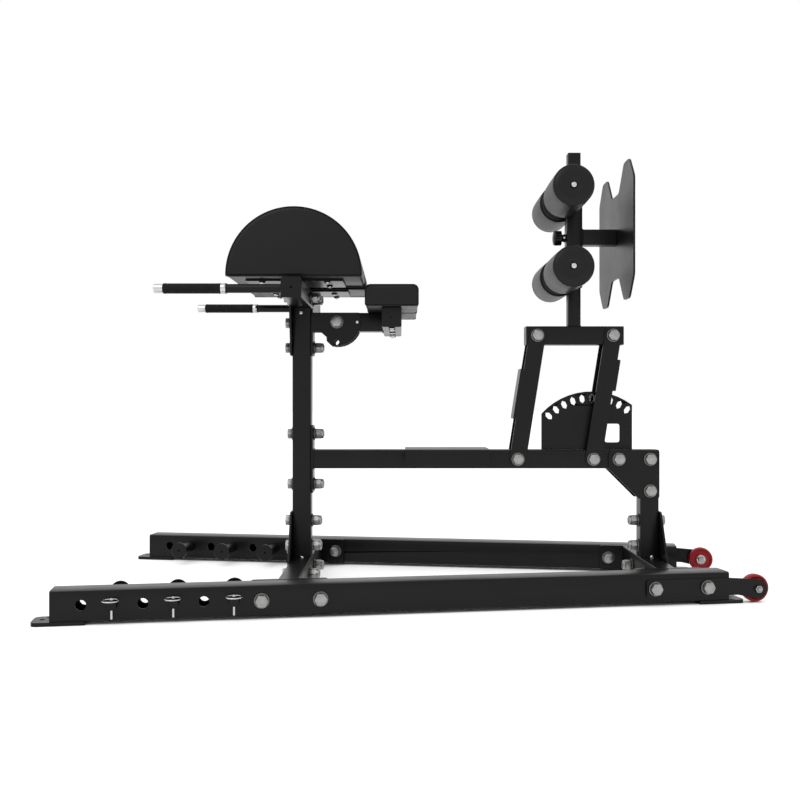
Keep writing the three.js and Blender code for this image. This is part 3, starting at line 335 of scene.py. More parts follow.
class Finish:
    """A material under construction: its tree, and its Principled shader with plain values."""

    def __init__(self, name, **plain):
        self.material = bpy.data.materials.new(name)
        self.material.use_nodes = True
        self.tree = self.material.node_tree
        self.shader = self.tree.nodes["Principled BSDF"]
        for label, value in plain.items():
            self.shader.inputs[label.replace("_", " ")].default_value = value

    def use(self, group, **feeds):
        """Places a node group with its own values and returns its outputs."""
        made = self.tree.nodes.new("ShaderNodeGroup")
        made.node_tree = group
        for label, value in feeds.items():
            made.inputs[label].default_value = value
        return made.outputs

    def colour(self, mask, low, high):
        """Mixes two colours by a mask into the base colour, and returns the mixed colour."""
        mix = node(self.tree, "ShaderNodeMix", {0: mask, 6: (*low, 1), 7: (*high, 1)}, data_type="RGBA")
        self.tree.links.new(mix.outputs[2], self.shader.inputs["Base Color"])
        return mix.outputs[2]

    def covered(self, colour, mask, cover):
        """Lays a second colour over another one by a mask."""
        mix = node(self.tree, "ShaderNodeMix", {0: mask, 6: colour, 7: (*cover, 1)}, data_type="RGBA")
        self.tree.links.new(mix.outputs[2], self.shader.inputs["Base Color"])

    def dusted(self, colour, dust):
        """Lays a thin dust over a colour where the surface looks up."""
        self.covered(colour, self.use(SETTLED_DUST, Amount=0.03)["Mask"], dust)

    def cloud(self, patches, low=0.0, high=1.0):
        """Cloudy patches from low to high. A larger number of patches makes them smaller."""
        return self.use(HANDLED, Patches=patches, Low=low, High=high)["Value"]

    def rough(self, value):
        self.tree.links.new(value, self.shader.inputs["Roughness"])

    def bump(self, height, depth):
        """Raises the surface by a height, with its depth in millimetres."""
        made = node(self.tree, "ShaderNodeBump",
                    {"Height": height, "Distance": depth * METRES, "Strength": 1.0})
        self.tree.links.new(made.outputs["Normal"], self.shader.inputs["Normal"])

    def peel(self, grain, waves, depth):
        """Raises the surface like a sprayed or moulded skin, with its depth in millimetres."""
        self.bump(self.use(ORANGE_PEEL, Grain=grain, Waves=waves)["Height"], depth)


def powder_coat():
    made = Finish("black_powder_coat", Specular_IOR_Level=0.21)
    cloud = made.cloud(6.0, 0.28, 0.36)
    colour = made.colour(made.cloud(14.0), (0.0030, 0.0030, 0.0031), (0.0046, 0.0046, 0.0047))
    made.dusted(colour, (0.25, 0.24, 0.23))
    made.rough(cloud)
    made.peel(1100.0, 160.0, 0.05)
    return made.material


def zinc_plate():
    made = Finish("bright_zinc", Metallic=0.85)
    colour = made.colour(made.cloud(90.0), (0.285, 0.285, 0.28), (0.395, 0.395, 0.385))
    # The zinc is painted dark in corners and under the heads by the crevice mask: painted shade.
    painted_crevice_shade = made.use(CREVICE_SHADE, Reach=0.008, Open=0.97, Shut=0.70)["Mask"]
    made.covered(colour, painted_crevice_shade, (0.045, 0.044, 0.042))
    made.rough(made.cloud(220.0, 0.30, 0.46))
    made.bump(made.use(FINE_SCRATCHES, Scratches=1600.0, Stretch=0.1)["Height"], 0.02)
    return made.material


def chrome_plate():
    made = Finish("polished_chrome", Metallic=1.0)
    made.colour(made.cloud(40.0), (0.50, 0.505, 0.51), (0.60, 0.605, 0.61))
    made.rough(made.cloud(120.0, 0.10, 0.20))
    made.bump(made.use(FINE_SCRATCHES, Scratches=2200.0, Stretch=0.04)["Height"], 0.004)
    return made.material


def pad_vinyl():
    made = Finish("black_pad_vinyl", Specular_IOR_Level=0.22, Sheen_Weight=0.02, Sheen_Roughness=0.5)
    grain = made.use(LEATHER_GRAIN_AND_CREASE_SHADE, Cells=420.0)
    # The creases are painted darker than the cells: painted shade. The grain's relief comes from the bump.
    made.colour(grain["Crease Shade"], (0.0062, 0.0062, 0.0062), (0.003, 0.003, 0.003))
    made.rough(made.cloud(9.0, 0.38, 0.46))
    made.bump(grain["Height"], 0.06)
    return made.material


def grip_rubber():
    made = Finish("ribbed_grip_rubber", Specular_IOR_Level=0.2)
    made.colour(made.cloud(60.0), (0.0025, 0.0025, 0.0025), (0.0040, 0.0040, 0.0040))
    made.rough(made.cloud(40.0, 0.60, 0.78))
    made.peel(1800.0, 500.0, 0.06)
    return made.material


def moulded_plastic():
    made = Finish("moulded_black_plastic", Specular_IOR_Level=0.25)
    made.colour(made.cloud(50.0), (0.0030, 0.0030, 0.0032), (0.0050, 0.0050, 0.0053))
    made.rough(made.cloud(70.0, 0.28, 0.36))
    made.peel(2400.0, 700.0, 0.02)
    return made.material


def wheel_urethane():
    made = Finish("red_wheel_urethane", Specular_IOR_Level=0.3, Subsurface_Weight=0.08,
                  Subsurface_Scale=0.002)
    colour = made.colour(made.cloud(60.0), (0.27, 0.004, 0.007), (0.36, 0.007, 0.011))
    made.dusted(colour, (0.35, 0.25, 0.22))
    made.rough(made.cloud(110.0, 0.34, 0.5))
    made.peel(2000.0, 500.0, 0.03)
    return made.material


FINISHES = {
    "powder_coat": powder_coat(), "zinc": zinc_plate(), "chrome": chrome_plate(), "vinyl": pad_vinyl(),
    "grip_rubber": grip_rubber(), "black_plastic": moulded_plastic(), "polyurethane": wheel_urethane(),
}


# The steel itself: a new finish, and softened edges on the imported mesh

def welded_mesh():
    """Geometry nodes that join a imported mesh's loose triangles at their corners and shade them smooth."""
    tree = bpy.data.node_groups.new("joined_corners", "GeometryNodeTree")
    tree.interface.new_socket("Geometry", in_out="INPUT", socket_type="NodeSocketGeometry")
    tree.interface.new_socket("Geometry", in_out="OUTPUT", socket_type="NodeSocketGeometry")
    given = tree.nodes.new("NodeGroupInput").outputs[0]
    gives = tree.nodes.new("NodeGroupOutput").inputs[0]
    bare = node(tree, "GeometryNodeRemoveAttribute", {"Geometry": given, "Name": "custom_normal"})
    merged = node(tree, "GeometryNodeMergeByDistance", {"Geometry": bare.outputs[0], "Distance": 1e-5})
    smooth = node(tree, "GeometryNodeSetShadeSmooth", {"Geometry": merged.outputs[0], "Shade Smooth": True})
    tree.links.new(smooth.outputs[0], gives)
    return tree


WELDED_MESH = welded_mesh()
EDGE_WIDTH = 0.6
EDGE_SEGMENTS = 2
EDGE_ANGLE = math.radians(32)

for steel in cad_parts.values():
    own_slot = steel.data.materials[0].name
    for index in range(len(steel.material_slots)):
        steel.material_slots[index].link = "OBJECT"
        steel.material_slots[index].material = FINISHES[own_slot]
    joining = steel.modifiers.new("joined_corners", "NODES")
    joining.node_group = WELDED_MESH
    soft_edges = steel.modifiers.new("soft_edges", "BEVEL")
    soft_edges.width = EDGE_WIDTH * METRES
    soft_edges.segments = EDGE_SEGMENTS
    soft_edges.limit_method = "ANGLE"
    soft_edges.angle_limit = EDGE_ANGLE
    soft_edges.harden_normals = True
    soft_edges.use_clamp_overlap = True


# Structural bolts: a chamfered hexagon head on a washer, a nut on a washer, and a threaded tail

WASHER_RADIUS = 17.3
WASHER_THICK = 3.3
BOLT_ACROSS = 26
HEAD_TOP = 14.6
NUT_FOOT = 20
THREAD_RADIUS = 8.2


def washer(start, way=1):
    """A round washer with softened rims, standing on start."""
    return turned(rounded_bar(WASHER_RADIUS, 0.5, start, start + way * WASHER_THICK, steps=3))


def hexagon(start, end, across=BOLT_ACROSS, both=False):
    """A hexagon whose corners are cut by a thirty degree cone at its end, or at both ends."""
    way = 1 if end > start else -1
    corner = across / 2 / math.cos(math.pi / 6)
    face = across / 2 * 0.95
    drop = (corner - face) * math.tan(math.pi / 6)
    shares = np.linspace(0, 1, 5)
    cone = [(corner - (corner - face) * t, end - way * drop * (1 - t)) for t in shares]
    foot = [(corner, start)]
    if both:
        foot = [(corner - (corner - face) * t, start + way * drop * (1 - t)) for t in shares[::-1]]
    return turned([(0, start), *foot, *cone, (0, end)], sides=48, across=across)


def bolt(grip):
    """A bolt along z. Its head's washer stands on z = 0. Its nut, with a round locking collar, hangs
    under z = -grip on a second washer."""
    collar = [(0, 19), (12.4, 19), (12.7, 19.5), (12.7, 24), (12.2, 25.4), (11, 26.5), (9.4, 27), (0, 27)]
    return joined(
        washer(0), hexagon(3, HEAD_TOP),
        hexagon(-grip - WASHER_THICK, -grip - NUT_FOOT, both=True),
        turned([(r, -grip - h) for r, h in collar]),
        threaded(THREAD_RADIUS, -grip - 25, -grip - 28.5),
        washer(-grip, way=-1),
    )


def across_x(y, z, head, nut):
    """A bolt along x through the heads' and nuts' faces, given by their x."""
    way = (1, 0, 0) if head > nut else (-1, 0, 0)
    return aimed(bolt(abs(head - nut)), place(head, y, z), way)


def across_y(x, z):
    """A bolt along y, its head on the near side of a plated tube."""
    return aimed(bolt(2 * WASHER_SEAT), place(x, -WASHER_SEAT, z), (0, -1, 0))


SPLAY = math.radians(9)
RAIL_START = -510
RAIL_HALF_SPAN = 498.032
RAIL_LENGTH = 1600.05
RAIL_BOLTS = {"front": (531.04, 0), "rear": (1473.65, 5.6)}
RAIL_BOLT_SPREAD = 67
RAIL_BOLT_Z = 43
RAIL_NUT_FACE = 78.6


def on_rail(side, x, inward, z):
    """A place in a rail's own frame: x along it from the pad end, inward from its outer face."""
    y = -side * inward
    turn = -side * SPLAY
    along = RAIL_START + x * math.cos(turn) - y * math.sin(turn)
    across = side * RAIL_HALF_SPAN + x * math.sin(turn) + y * math.cos(turn)
    return place(along, across, z)


def rail_way(side):
    """Outwards from a rail's outer face."""
    return np.array([math.sin(SPLAY), side * math.cos(SPLAY), 0])


for name, side in SIDES.items():
    rail_bolts = []
    for x, out in RAIL_BOLTS.values():
        for spread in (-RAIL_BOLT_SPREAD, RAIL_BOLT_SPREAD):
            at = on_rail(side, x + spread, -out, RAIL_BOLT_Z)
            rail_bolts.append(aimed(bolt(RAIL_NUT_FACE + out), at, rail_way(side)))
    piece(f"{name}_rail_bolts", joined(*rail_bolts), "zinc", "frame")

MEMBER_BOLTS = (-70, 70)
BASE_PLATE_BOLTS = (108, 175.5)
BEAM_PLATE_BOLTS = (273.8, 408.8)
HEAD_PLATE_BOLTS = (640, 707)
PAD_BAR_BOLTS = (-40, 40)
GUSSET_BOLT = (847.4, 256.8)

BOLTS = {
    "front_member": [across_x(y, RAIL_BOLT_Z, -WASHER_SEAT, HALF_TUBE) for y in MEMBER_BOLTS],
    "rear_member": [
        across_x(y, RAIL_BOLT_Z, REAR_X + WASHER_SEAT, REAR_X - HALF_TUBE) for y in MEMBER_BOLTS],
    "front_upright": [
        *[across_x(0, z, -WASHER_SEAT, HALF_TUBE) for z in BASE_PLATE_BOLTS],
        *[across_x(0, z, -HALF_TUBE, WASHER_SEAT) for z in BEAM_PLATE_BOLTS],
        *[across_x(0, z, -WASHER_SEAT, WASHER_SEAT) for z in HEAD_PLATE_BOLTS]],
    "rear_upright": [
        *[across_x(0, z, REAR_X + WASHER_SEAT, REAR_X - HALF_TUBE) for z in BASE_PLATE_BOLTS],
        across_y(REAR_X, GUSSET_BOLT[1])],
    "beam": [across_y(GUSSET_BOLT[0], BEAM_Z), across_y(REAR_X, BEAM_Z)],
    "pad_bar": [across_x(y, PAD_BAR_Z, -WASHER_SEAT, HALF_TUBE) for y in PAD_BAR_BOLTS],
}
for name, bolts in BOLTS.items():
    piece(f"{name}_bolts", joined(*bolts), "zinc", "frame")

PIVOTS = {
    "lower_front": (-PIVOT_SPACING, 0, 0, "frame"), "lower_rear": (0, 0, 0, "frame"),
    "upper_front": (-PIVOT_SPACING, LEAN_X, LEAN_Z, "foot_carrier"),
    "upper_rear": (0, LEAN_X, LEAN_Z, "foot_carrier"),
}
for name, (back, along, up, body) in PIVOTS.items():
    shape = across_y(REAR_PIVOT[0] + back + along, REAR_PIVOT[1] + up)
    piece(f"{name}_pivot", shape, "zinc", body, stands_for=[f"{name}_pivot_bolt"])
piece("knee_pivot", across_y(*KNEE_PIVOT), "zinc", "frame", stands_for=["knee_pivot_bolt"])


# Ankle rollers: a foam sleeve in vinyl between two moulded discs, and a bolt in the middle

ROLLER_X = POST_X - HALF_SLEEVE - 12.5
ROLLER_RADIUS = 53
ROLLER_INNER = 34
ROLLER_OUTER = 200
ROLLER_DISC = 6
ROLLER_BORE = 8.7
ROLLER_SPREAD = 101.4
ROLLER_HEIGHTS = {"upper": CARRIAGE_Z + ROLLER_SPREAD, "lower": CARRIAGE_Z - ROLLER_SPREAD}


def roller_sleeve():
    """A soft tube drawn in by 3 mm at its ends: r = R - 0.5 |2t - 1|^3 along its length."""
    first = ROLLER_INNER + ROLLER_DISC - 1
    last = ROLLER_OUTER - ROLLER_DISC + 1
    turn = np.linspace(0, math.pi / 2, 7)
    edge = 3.0
    low = [(ROLLER_RADIUS - 0.5 - edge * (1 - math.sin(t)), first + edge * (1 - math.cos(t))) for t in turn]
    high = [(r, first + last - h) for r, h in low[::-1]]
    share = np.linspace(0, 1, 16)[1:-1]
    foot, top = low[-1][1], high[0][1]
    run = [(ROLLER_RADIUS - 0.5 * abs(2 * t - 1) ** 3, foot + t * (top - foot)) for t in share]
    return turned([*low, *run, *high, (ROLLER_BORE, last), (ROLLER_BORE, first), low[0]], sides=96)


def roller_disc(foot, face, lip=ROLLER_BORE):
    """A moulded end disc from its foot to its face: a narrow chamfer at the rim, a low boss ring and
    a recess whose floor closes in to the lip."""
    way = 1 if face > foot else -1
    r = ROLLER_RADIUS
    return turned([
        (ROLLER_BORE, foot), (r - 1.2, foot), (r - 0.6, foot + way * 0.6), (r - 0.6, face - way * 2.2),
        (r - 0.9, face - way * 1.4), (r - 1.6, face - way * 0.4), (r - 2.6, face),
        (r - 3.6, face - way * 0.1), (r - 4.4, face - way * 0.9), (r - 5.2, face - way * 0.9),
        (r - 6, face - way * 0.2), (16, face), (15, face - way * 0.5), (12, face - way * 0.6),
        (11, face - way * 0.2), (10, face - way * 0.2), (9.2, face - way), (ROLLER_BORE, face - way * 2.4),
        (lip, face - way * 2.6), (lip, face - way * 3.4), (ROLLER_BORE, face - way * 3.6),
        (ROLLER_BORE, foot),
    ], sides=96)


def button_head(radius, height, start, flank=0.3):
    """A plain domed head on a straight flank: r = R cos t, h = height (flank + (1 - flank) sin t)."""
    turn = np.linspace(0, math.pi / 2, 8)[:-1]
    dome = [(radius * math.cos(t), start + height * (flank + (1 - flank) * math.sin(t))) for t in turn]
    foot = [(0, start - 1), (radius - 0.4, start - 1), (radius, start - 0.6)]
    return turned([*foot, *dome, (0, start + height)], sides=32)


def round_pin(radius, edge, start, end, steps=4):
    """A plain round pin with rounded rims."""
    return turned(rounded_bar(radius, edge, start, end, steps), sides=32)


for level, z in ROLLER_HEIGHTS.items():
    for name, side in SIDES.items():
        body = f"{name}_{level}_roller"
        at = place(ROLLER_X, 0, z)
        sleeve = piece(f"{body}_sleeve", aimed(roller_sleeve(), at, (0, side, 0)), "vinyl", body,
                       sharp=60, stands_for=[body])
        discs = joined(roller_disc(ROLLER_OUTER - ROLLER_DISC, ROLLER_OUTER, lip=6.8),
                       roller_disc(ROLLER_INNER + ROLLER_DISC, ROLLER_INNER))
        piece(f"{body}_discs", aimed(discs, at, (0, side, 0)), "black_plastic", body, sharp=50)
        head = joined(button_head(6.4, 5.5, ROLLER_OUTER, flank=0.81),
                      round_pin(6, 0.3, ROLLER_OUTER - 5.6, ROLLER_OUTER - 0.5, steps=3))
        piece(f"{body}_bolt", aimed(head, at, (0, side, 0)), "chrome", "foot_carriage")


# Cushions

def evenly(points, count=None, spacing=None):
    """A closed outline with its points spread evenly: so many of them, or about so far apart."""
    loop = np.concatenate([points, points[:1]])
    length = np.concatenate([[0], np.cumsum(np.linalg.norm(np.diff(loop, axis=0), axis=1))])
    steps = count + 1 if count else int(length[-1] / spacing)
    even = np.linspace(0, length[-1], steps)[:-1]
    return np.stack([np.interp(even, length, loop[:, i]) for i in (0, 1)], axis=1)


def half_round(inset, steps=48, radius=168.2, foot=4.5):
    """A half round on a low straight foot, as x and z, drawn in all round by inset."""
    r = radius - inset
    angle = np.linspace(0, math.pi, steps + 1)
    arc = np.stack([r * np.cos(angle), foot + r * np.sin(angle)], axis=1)
    round_off = np.linspace(0, math.pi / 2, 5)[1:]
    drop = (foot - inset * 0.5) * np.sin(round_off)
    heel = np.stack([-r + 3 * (1 - np.cos(round_off)), foot - drop], axis=1)
    base = np.linspace(-1, 1, 23)[1:-1, None]
    floor = np.concatenate([(r - 3) * base, np.full((21, 1), inset * 0.5)], axis=1)
    return np.concatenate([arc, heel, floor, heel[::-1] * np.array([-1, 1])])


def round_box(inset, width=135, height=55.4, corner=13, foot=2.5, steps=7):
    """A rectangle with round corners, the lower ones smaller, as x and z, drawn in all round by inset."""
    w, h, r = width / 2 - inset, height - inset, max(corner - inset * 0.4, 2)
    f = min(foot, r)
    turn = np.linspace(0, math.pi / 2, steps)
    corners = [(w - r, h - r, r), (-w + r, h - r, r), (-w + f, inset + f, f), (w - f, inset + f, f)]
    parts = []
    for quarter, (x, z, r) in enumerate(corners):
        a = turn + quarter * math.pi / 2
        parts.append(np.stack([x + r * np.cos(a), z + r * np.sin(a)], axis=1))
    return evenly(np.concatenate(parts), count=72)


def outline_at(outline, inset, y):
    """An outline's points at one y, drawn in by inset."""
    flat = outline(inset)
    return np.stack([flat[:, 0], np.full(len(flat), y), flat[:, 1]], axis=1)


def cushion(outline, width, edge, crown, rows=14):
    """A cushion: an outline carried along y. Both ends are drawn in by a quarter circle of the edge,
    and then rise to a low crown over the end panel."""
    turn = np.linspace(0, math.pi / 2, 6)
    start = [(edge * (1 - math.sin(t)), crown + edge * (1 - math.cos(t))) for t in turn]
    middle = np.linspace(crown + edge, width - crown - edge, rows)[1:-1]
    rings = [*start, *[(0, y) for y in middle], *[(inset, width - y) for inset, y in start[::-1]]]
    loops = [outline_at(outline, inset, y) for inset, y in rings]
    panels = []
    for loop, way in ((loops[0], -1), (loops[-1], 1)):
        centre = loop.mean(axis=0)
        centre[2] = loop[:, 2].min() * 0.55 + loop[:, 2].max() * 0.45
        panels.append([
            loop + (centre - loop) * s + np.array([0, way * crown * math.sin(s * math.pi / 2), 0])
            for s in np.linspace(0, 1, 9)[1:]])
    return tiled(np.stack([*panels[0][::-1], *loops, *panels[1]]))


def applied(form):
    """A new mesh of an object with its modifiers applied, and that mesh's points."""
    mesh = bpy.data.meshes.new_from_object(form.evaluated_get(bpy.context.evaluated_depsgraph_get()))
    points = np.zeros(len(mesh.vertices) * 3)
    mesh.vertices.foreach_get("co", points)
    return mesh, points.reshape(-1, 3)


def swollen(name, shape, held, cap, voxel=5.0, frames=20):
    """Lets a cushion swell under pressure as cloth. held says which points stay, and cap is the
    furthest that a point may move."""
    form = linked(name, solid_mesh(name, shape))
    remesh = form.modifiers.new("even_mesh", "REMESH")
    remesh.mode = "VOXEL"
    remesh.voxel_size = voxel * METRES
    evened, before = applied(form)
    form.modifiers.clear()
    form.data = evened
    group = form.vertex_groups.new(name="held")
    group.add(np.nonzero(held(before / METRES))[0].tolist(), 1.0, "REPLACE")
    cloth = form.modifiers.new("filling", "CLOTH")
    cloth.settings.use_pressure = True
    cloth.settings.uniform_pressure_force = 4
    cloth.settings.vertex_group_mass = "held"
    cloth.settings.effector_weights.gravity = 0
    cloth.settings.quality = 6
    cloth.point_cache.frame_start = 1
    cloth.point_cache.frame_end = frames
    for step in range(1, frames + 1):
        bpy.context.scene.frame_set(step)
    result, after = applied(form)
    moved = after - before
    length = np.linalg.norm(moved, axis=1, keepdims=True)
    limit = cap * METRES
    moved *= limit * np.tanh(length / limit) / np.maximum(length, 1e-9)
    quads = np.array([list(face.vertices) for face in result.polygons])
    bpy.data.objects.remove(form)
    bpy.context.scene.frame_set(1)
    return (before + moved) / METRES, quads


def pad_piece(name, shape, body, stands_for):
    """A finished cushion in vinyl, with one level of subdivision."""
    made = piece(name, shape, "vinyl", body, sharp=None, stands_for=[stands_for])
    finer = made.modifiers.new("finer", "SUBSURF")
    finer.levels = finer.render_levels = 1


PAD_EDGE = 4
PAD_SWELL = 1.6
PIPING_RADIUS = 1.3
PIPING_INSET = 4.6
THIGH_X = 2
THIGH_Z = 802.6
THIGH_INNER = 40
THIGH_WIDTH = 212
KNEE_X = KNEE_PIVOT[0] + 148
KNEE_Z = KNEE_PIVOT[1] + 25.3
KNEE_INNER = 1
KNEE_WIDTH = 215


def pad_form(name, outline, width, crown, floor):
    """A cushion that has swollen between its two seams and stays flat where it is screwed down,
    below the floor."""
    shape = cushion(lambda inset: outline(inset + PAD_SWELL / 2), width, PAD_EDGE, crown)
    seam = crown + PAD_EDGE * 0.6

    def held(points):
        y = points[:, 1]
        near_seam = np.minimum(np.abs(y - seam), np.abs(width - y - seam)) < 4
        return near_seam | (points[:, 2] < floor)

    return swollen(name, shape, held, PAD_SWELL)


thigh_form = pad_form("thigh_form", half_round, THIGH_WIDTH, 2.2, 6)
knee_form = pad_form("knee_form", round_box, KNEE_WIDTH, 1.6, 5)

for name, side in SIDES.items():
    for label, form, outline, width, at, body, inner in (
        ("thigh", thigh_form, half_round, THIGH_WIDTH, (THIGH_X, THIGH_Z), "frame", THIGH_INNER),
        ("knee", knee_form, round_box, KNEE_WIDTH, (KNEE_X, KNEE_Z), "knee_arm", KNEE_INNER),
    ):
        cover = (form[0] + np.array([0, inner, 0]), form[1])
        piping = joined(*[swept(outline_at(outline, 1.5, inner + y), ring_section(PIPING_RADIUS, 8))
                          for y in (PIPING_INSET, width - PIPING_INSET)])
        if side < 0:
            cover, piping = mirrored(cover), mirrored(piping)
        shift = place(at[0], 0, at[1])
        pad_piece(f"{name}_{label}_cushion", (cover[0] + shift, cover[1]), body, f"{name}_{label}_pad")
        piece(f"{name}_{label}_piping", (piping[0] + shift, piping[1]), "vinyl", body, sharp=70)


# Handles: a coated tube, a chrome collar, a ribbed grip and a chrome end

GRIP_START, GRIP_LENGTH = 173, 139
COLLAR_LENGTH = 12.5
COLLAR_START = GRIP_START - FIT - COLLAR_LENGTH
HANDLE_REACH = 335.8
HANDLE_Z = PAD_BAR_Z - 1.2
BAR_RADIUS = 11


def grip_profile():
    """A rubber grip: fine ribs, r = 12.5 + 0.3 cos, with a low lip at both ends."""
    along = np.linspace(0, GRIP_LENGTH, 141)
    r = 12.5 + 0.3 * np.cos(along * math.tau / 4)
    r = np.where((along < 5) | (along > GRIP_LENGTH - 5), 12.8, r)
    return [(BAR_RADIUS + 0.2, GRIP_START), *[(a, GRIP_START + b) for a, b in zip(r, along)],
            (BAR_RADIUS + 0.2, GRIP_START + GRIP_LENGTH), (BAR_RADIUS + 0.2, GRIP_START)]


def sleeve_profile(radius, bore, start, end, edge=1.2):
    """A turned sleeve with softened rims."""
    return [(bore, start), (radius - edge, start), (radius - 0.3 * edge, start + 0.3 * edge),
            (radius, start + edge), (radius, end - edge), (radius - 0.3 * edge, end - 0.3 * edge),
            (radius - edge, end), (bore, end), (bore, start)]


for name, side in SIDES.items():
    at = place(0, side * HANDLE_Y, HANDLE_Z)
    stop = COLLAR_START - FIT
    tube = turned([
        (0, -21), (BAR_RADIUS, -21), (BAR_RADIUS, stop - 1.8), (12.6, stop - 1.6), (12.8, stop - 0.8),
        (12.4, stop), (BAR_RADIUS, stop), (BAR_RADIUS, HANDLE_REACH - 24), (10, HANDLE_REACH - 23.8),
        (10, HANDLE_REACH - 6), (0, HANDLE_REACH - 6),
    ])
    piece(f"{name}_handle_bar", aimed(tube, at, BACK), "powder_coat", "frame",
          stands_for=[f"{name}_handle_tube"])
    weld = turned([
        (BAR_RADIUS, 24.6), (13.8, 25.2), (13.4, 26.4), (11.8, 27.8), (10.8, 28.2), (10.8, 24.6),
        (BAR_RADIUS, 24.6),
    ])
    piece(f"{name}_handle_weld", aimed(weld, at, BACK), "powder_coat", "frame")
    collar = turned(sleeve_profile(13.1, BAR_RADIUS + 0.2, COLLAR_START, GRIP_START - FIT), sides=48)
    piece(f"{name}_handle_ring", aimed(collar, at, BACK), "chrome", "frame",
          stands_for=[f"{name}_handle_collar"])
    piece(f"{name}_rubber_grip", aimed(turned(grip_profile(), sides=48), at, BACK), "grip_rubber", "frame",
          stands_for=[f"{name}_handle_grip"])
    start = GRIP_START + GRIP_LENGTH + FIT
    end = turned([(0, start), *rounded_bar(11.5, 2.2, start, HANDLE_REACH, steps=7)[1:-1],
                  (6, HANDLE_REACH), (5.2, HANDLE_REACH - 0.6), (0, HANDLE_REACH - 0.9)], sides=48)
    piece(f"{name}_handle_end", aimed(end, at, BACK), "chrome", "frame",
          stands_for=[f"{name}_handle_end_cap"])


# Transport wheels

AXLE_RAIL_X = RAIL_LENGTH + 73.6
AXLE_Z = 35
WHEEL_INWARD = 15
HALF_WHEEL = 12


def tyre_profile():
    """A tyre with a low crown on its tread and a step down to its hub."""
    w = HALF_WHEEL
    turn = np.linspace(-1, 1, 11)
    tread = [(34 - 0.9 * t * t - 2.2 * abs(t) ** 6, w * t) for t in turn]
    side = [(13.8, w - 1), (16, w - 1.2), (17, w - 3.4), (25, w - 3.6), (27, w - 1.2), (29, w)]
    return [*[(r, -h) for r, h in side], *tread, *side[::-1], (13.8, 1 - w)]


def hub_profile():
    """A pressed hub with a rolled rim, a dished web and a boss."""
    w = HALF_WHEEL
    half = [(5.4, w), (8.2, w), (8.7, w - 0.6), (8.9, w - 2), (11.2, w - 2.4), (12, w - 0.6),
            (12.8, w - 0.2), (13.6, w - 0.8)]
    return [*half, *[(r, -h) for r, h in half[::-1]], half[0]]


for name, side in SIDES.items():
    at = on_rail(side, AXLE_RAIL_X, WHEEL_INWARD, AXLE_Z)
    body = f"{name}_wheel"
    way = rail_way(side)
    piece(f"{name}_tyre", aimed(turned(tyre_profile(), sides=64), at, way), "polyurethane", body,
          stands_for=[f"{name}_wheel_tyre"])
    piece(f"{name}_hub", aimed(turned(hub_profile(), sides=48), at, way), "chrome", body,
          stands_for=[f"{name}_wheel_hub"])
    outer = on_rail(side, AXLE_RAIL_X, -5.3, AXLE_Z)
    inner = on_rail(side, AXLE_RAIL_X, 27.3, AXLE_Z)
    nut = joined(hexagon(0, 6.6, across=16.6), threaded(4.9, 5, 10, pitch=1.25, depth=0.4))
    cap = turned(rounded_bar(8.3, 2.6, 0, 5.4, steps=6), sides=32)
    piece(f"{name}_axle_nuts", joined(aimed(nut, outer, way), aimed(cap, inner, -way)), "zinc", "frame")


# Knobs of the two sprung pins: a lobed grip with a domed end

def knob_shape(start, radius=19.9, length=23, recess=0):
    """A moulded knob: a back with a shallow recess round the stem, twelve low lobes on a straight
    flank, and a low dome."""
    end = start + length
    return turned([
        (0, start + recess), (12.4, start + recess), (12.9, start), (radius - 1.4, start),
        (radius - 0.4, start + 0.4), (radius, start + 1.4), (radius, end - 6), (radius - 0.4, end - 4.6),
        (radius - 1.6, end - 3), (radius - 3.6, end - 1.9), (radius * 0.5, end - 0.7),
        (radius * 0.25, end - 0.1), (0, end),
    ], sides=96, lobes=12, depth=1.1)


INDEX_RADIUS = 163
PIN_X = REAR_PIVOT[0] + INDEX_RADIUS * math.sin(REST_LEAN)
PIN_Z = REAR_PIVOT[1] + INDEX_RADIUS * math.cos(REST_LEAN)
lock_pin = joined(round_pin(6, 1.2, 3.3, 60), knob_shape(56.6))
piece("link_knob", aimed(lock_pin, place(PIN_X, 0, PIN_Z), (0, 1, 0)), "black_plastic", "link_lock_pin",
      stands_for=["link_lock_pin"])

# Both pins below slide in six-sided holes, so they are as thick as the round that fits inside one
PULL_X = POST_X - HALF_SLEEVE
PULL_AT = place(PULL_X, 0, CARRIAGE_Z)
piece("carriage_knob", aimed(knob_shape(12.2, recess=5), PULL_AT, BACK), "black_plastic",
      "carriage_pull_pin", stands_for=["carriage_pull_pin"])
piece("carriage_pin_stem", aimed(round_pin(4.4, 0.8, -3.7, 18), PULL_AT, BACK), "zinc", "carriage_pull_pin")
collar = turned([
    (6, 1.8), (11.4, 1.8), (12, 2.4), (11.6, 3.6), (10, 5.6), (9.6, 9.4), (9, 10.4), (6, 10.4), (6, 1.8),
])
piece("pull_pin_collar", aimed(collar, PULL_AT, BACK), "black_plastic", "foot_carriage")
piece("pull_pin_screw", aimed(button_head(4.1, 2.6, 9.4), place(PULL_X - 5, 0, CARRIAGE_Z), (0, -1, 0)),
      "chrome", "foot_carriage")
KNEE_LOCK_RADIUS = 54
piece("knee_pin_ends", aimed(round_pin(4.5, 0.9, -HALF_TUBE, HALF_TUBE),
                             place(KNEE_PIVOT[0] + KNEE_LOCK_RADIUS, 0, KNEE_PIVOT[1]), (0, 1, 0)),
      "chrome", "knee_lock_pin", stands_for=["knee_lock_pin"])


# Band pegs: a turned spigot, barrel and disc, and a ring pin in the spigot's tip

PEG_SPACING = 67.007
PEG_Z = 45
RING_RADIUS = 19.2


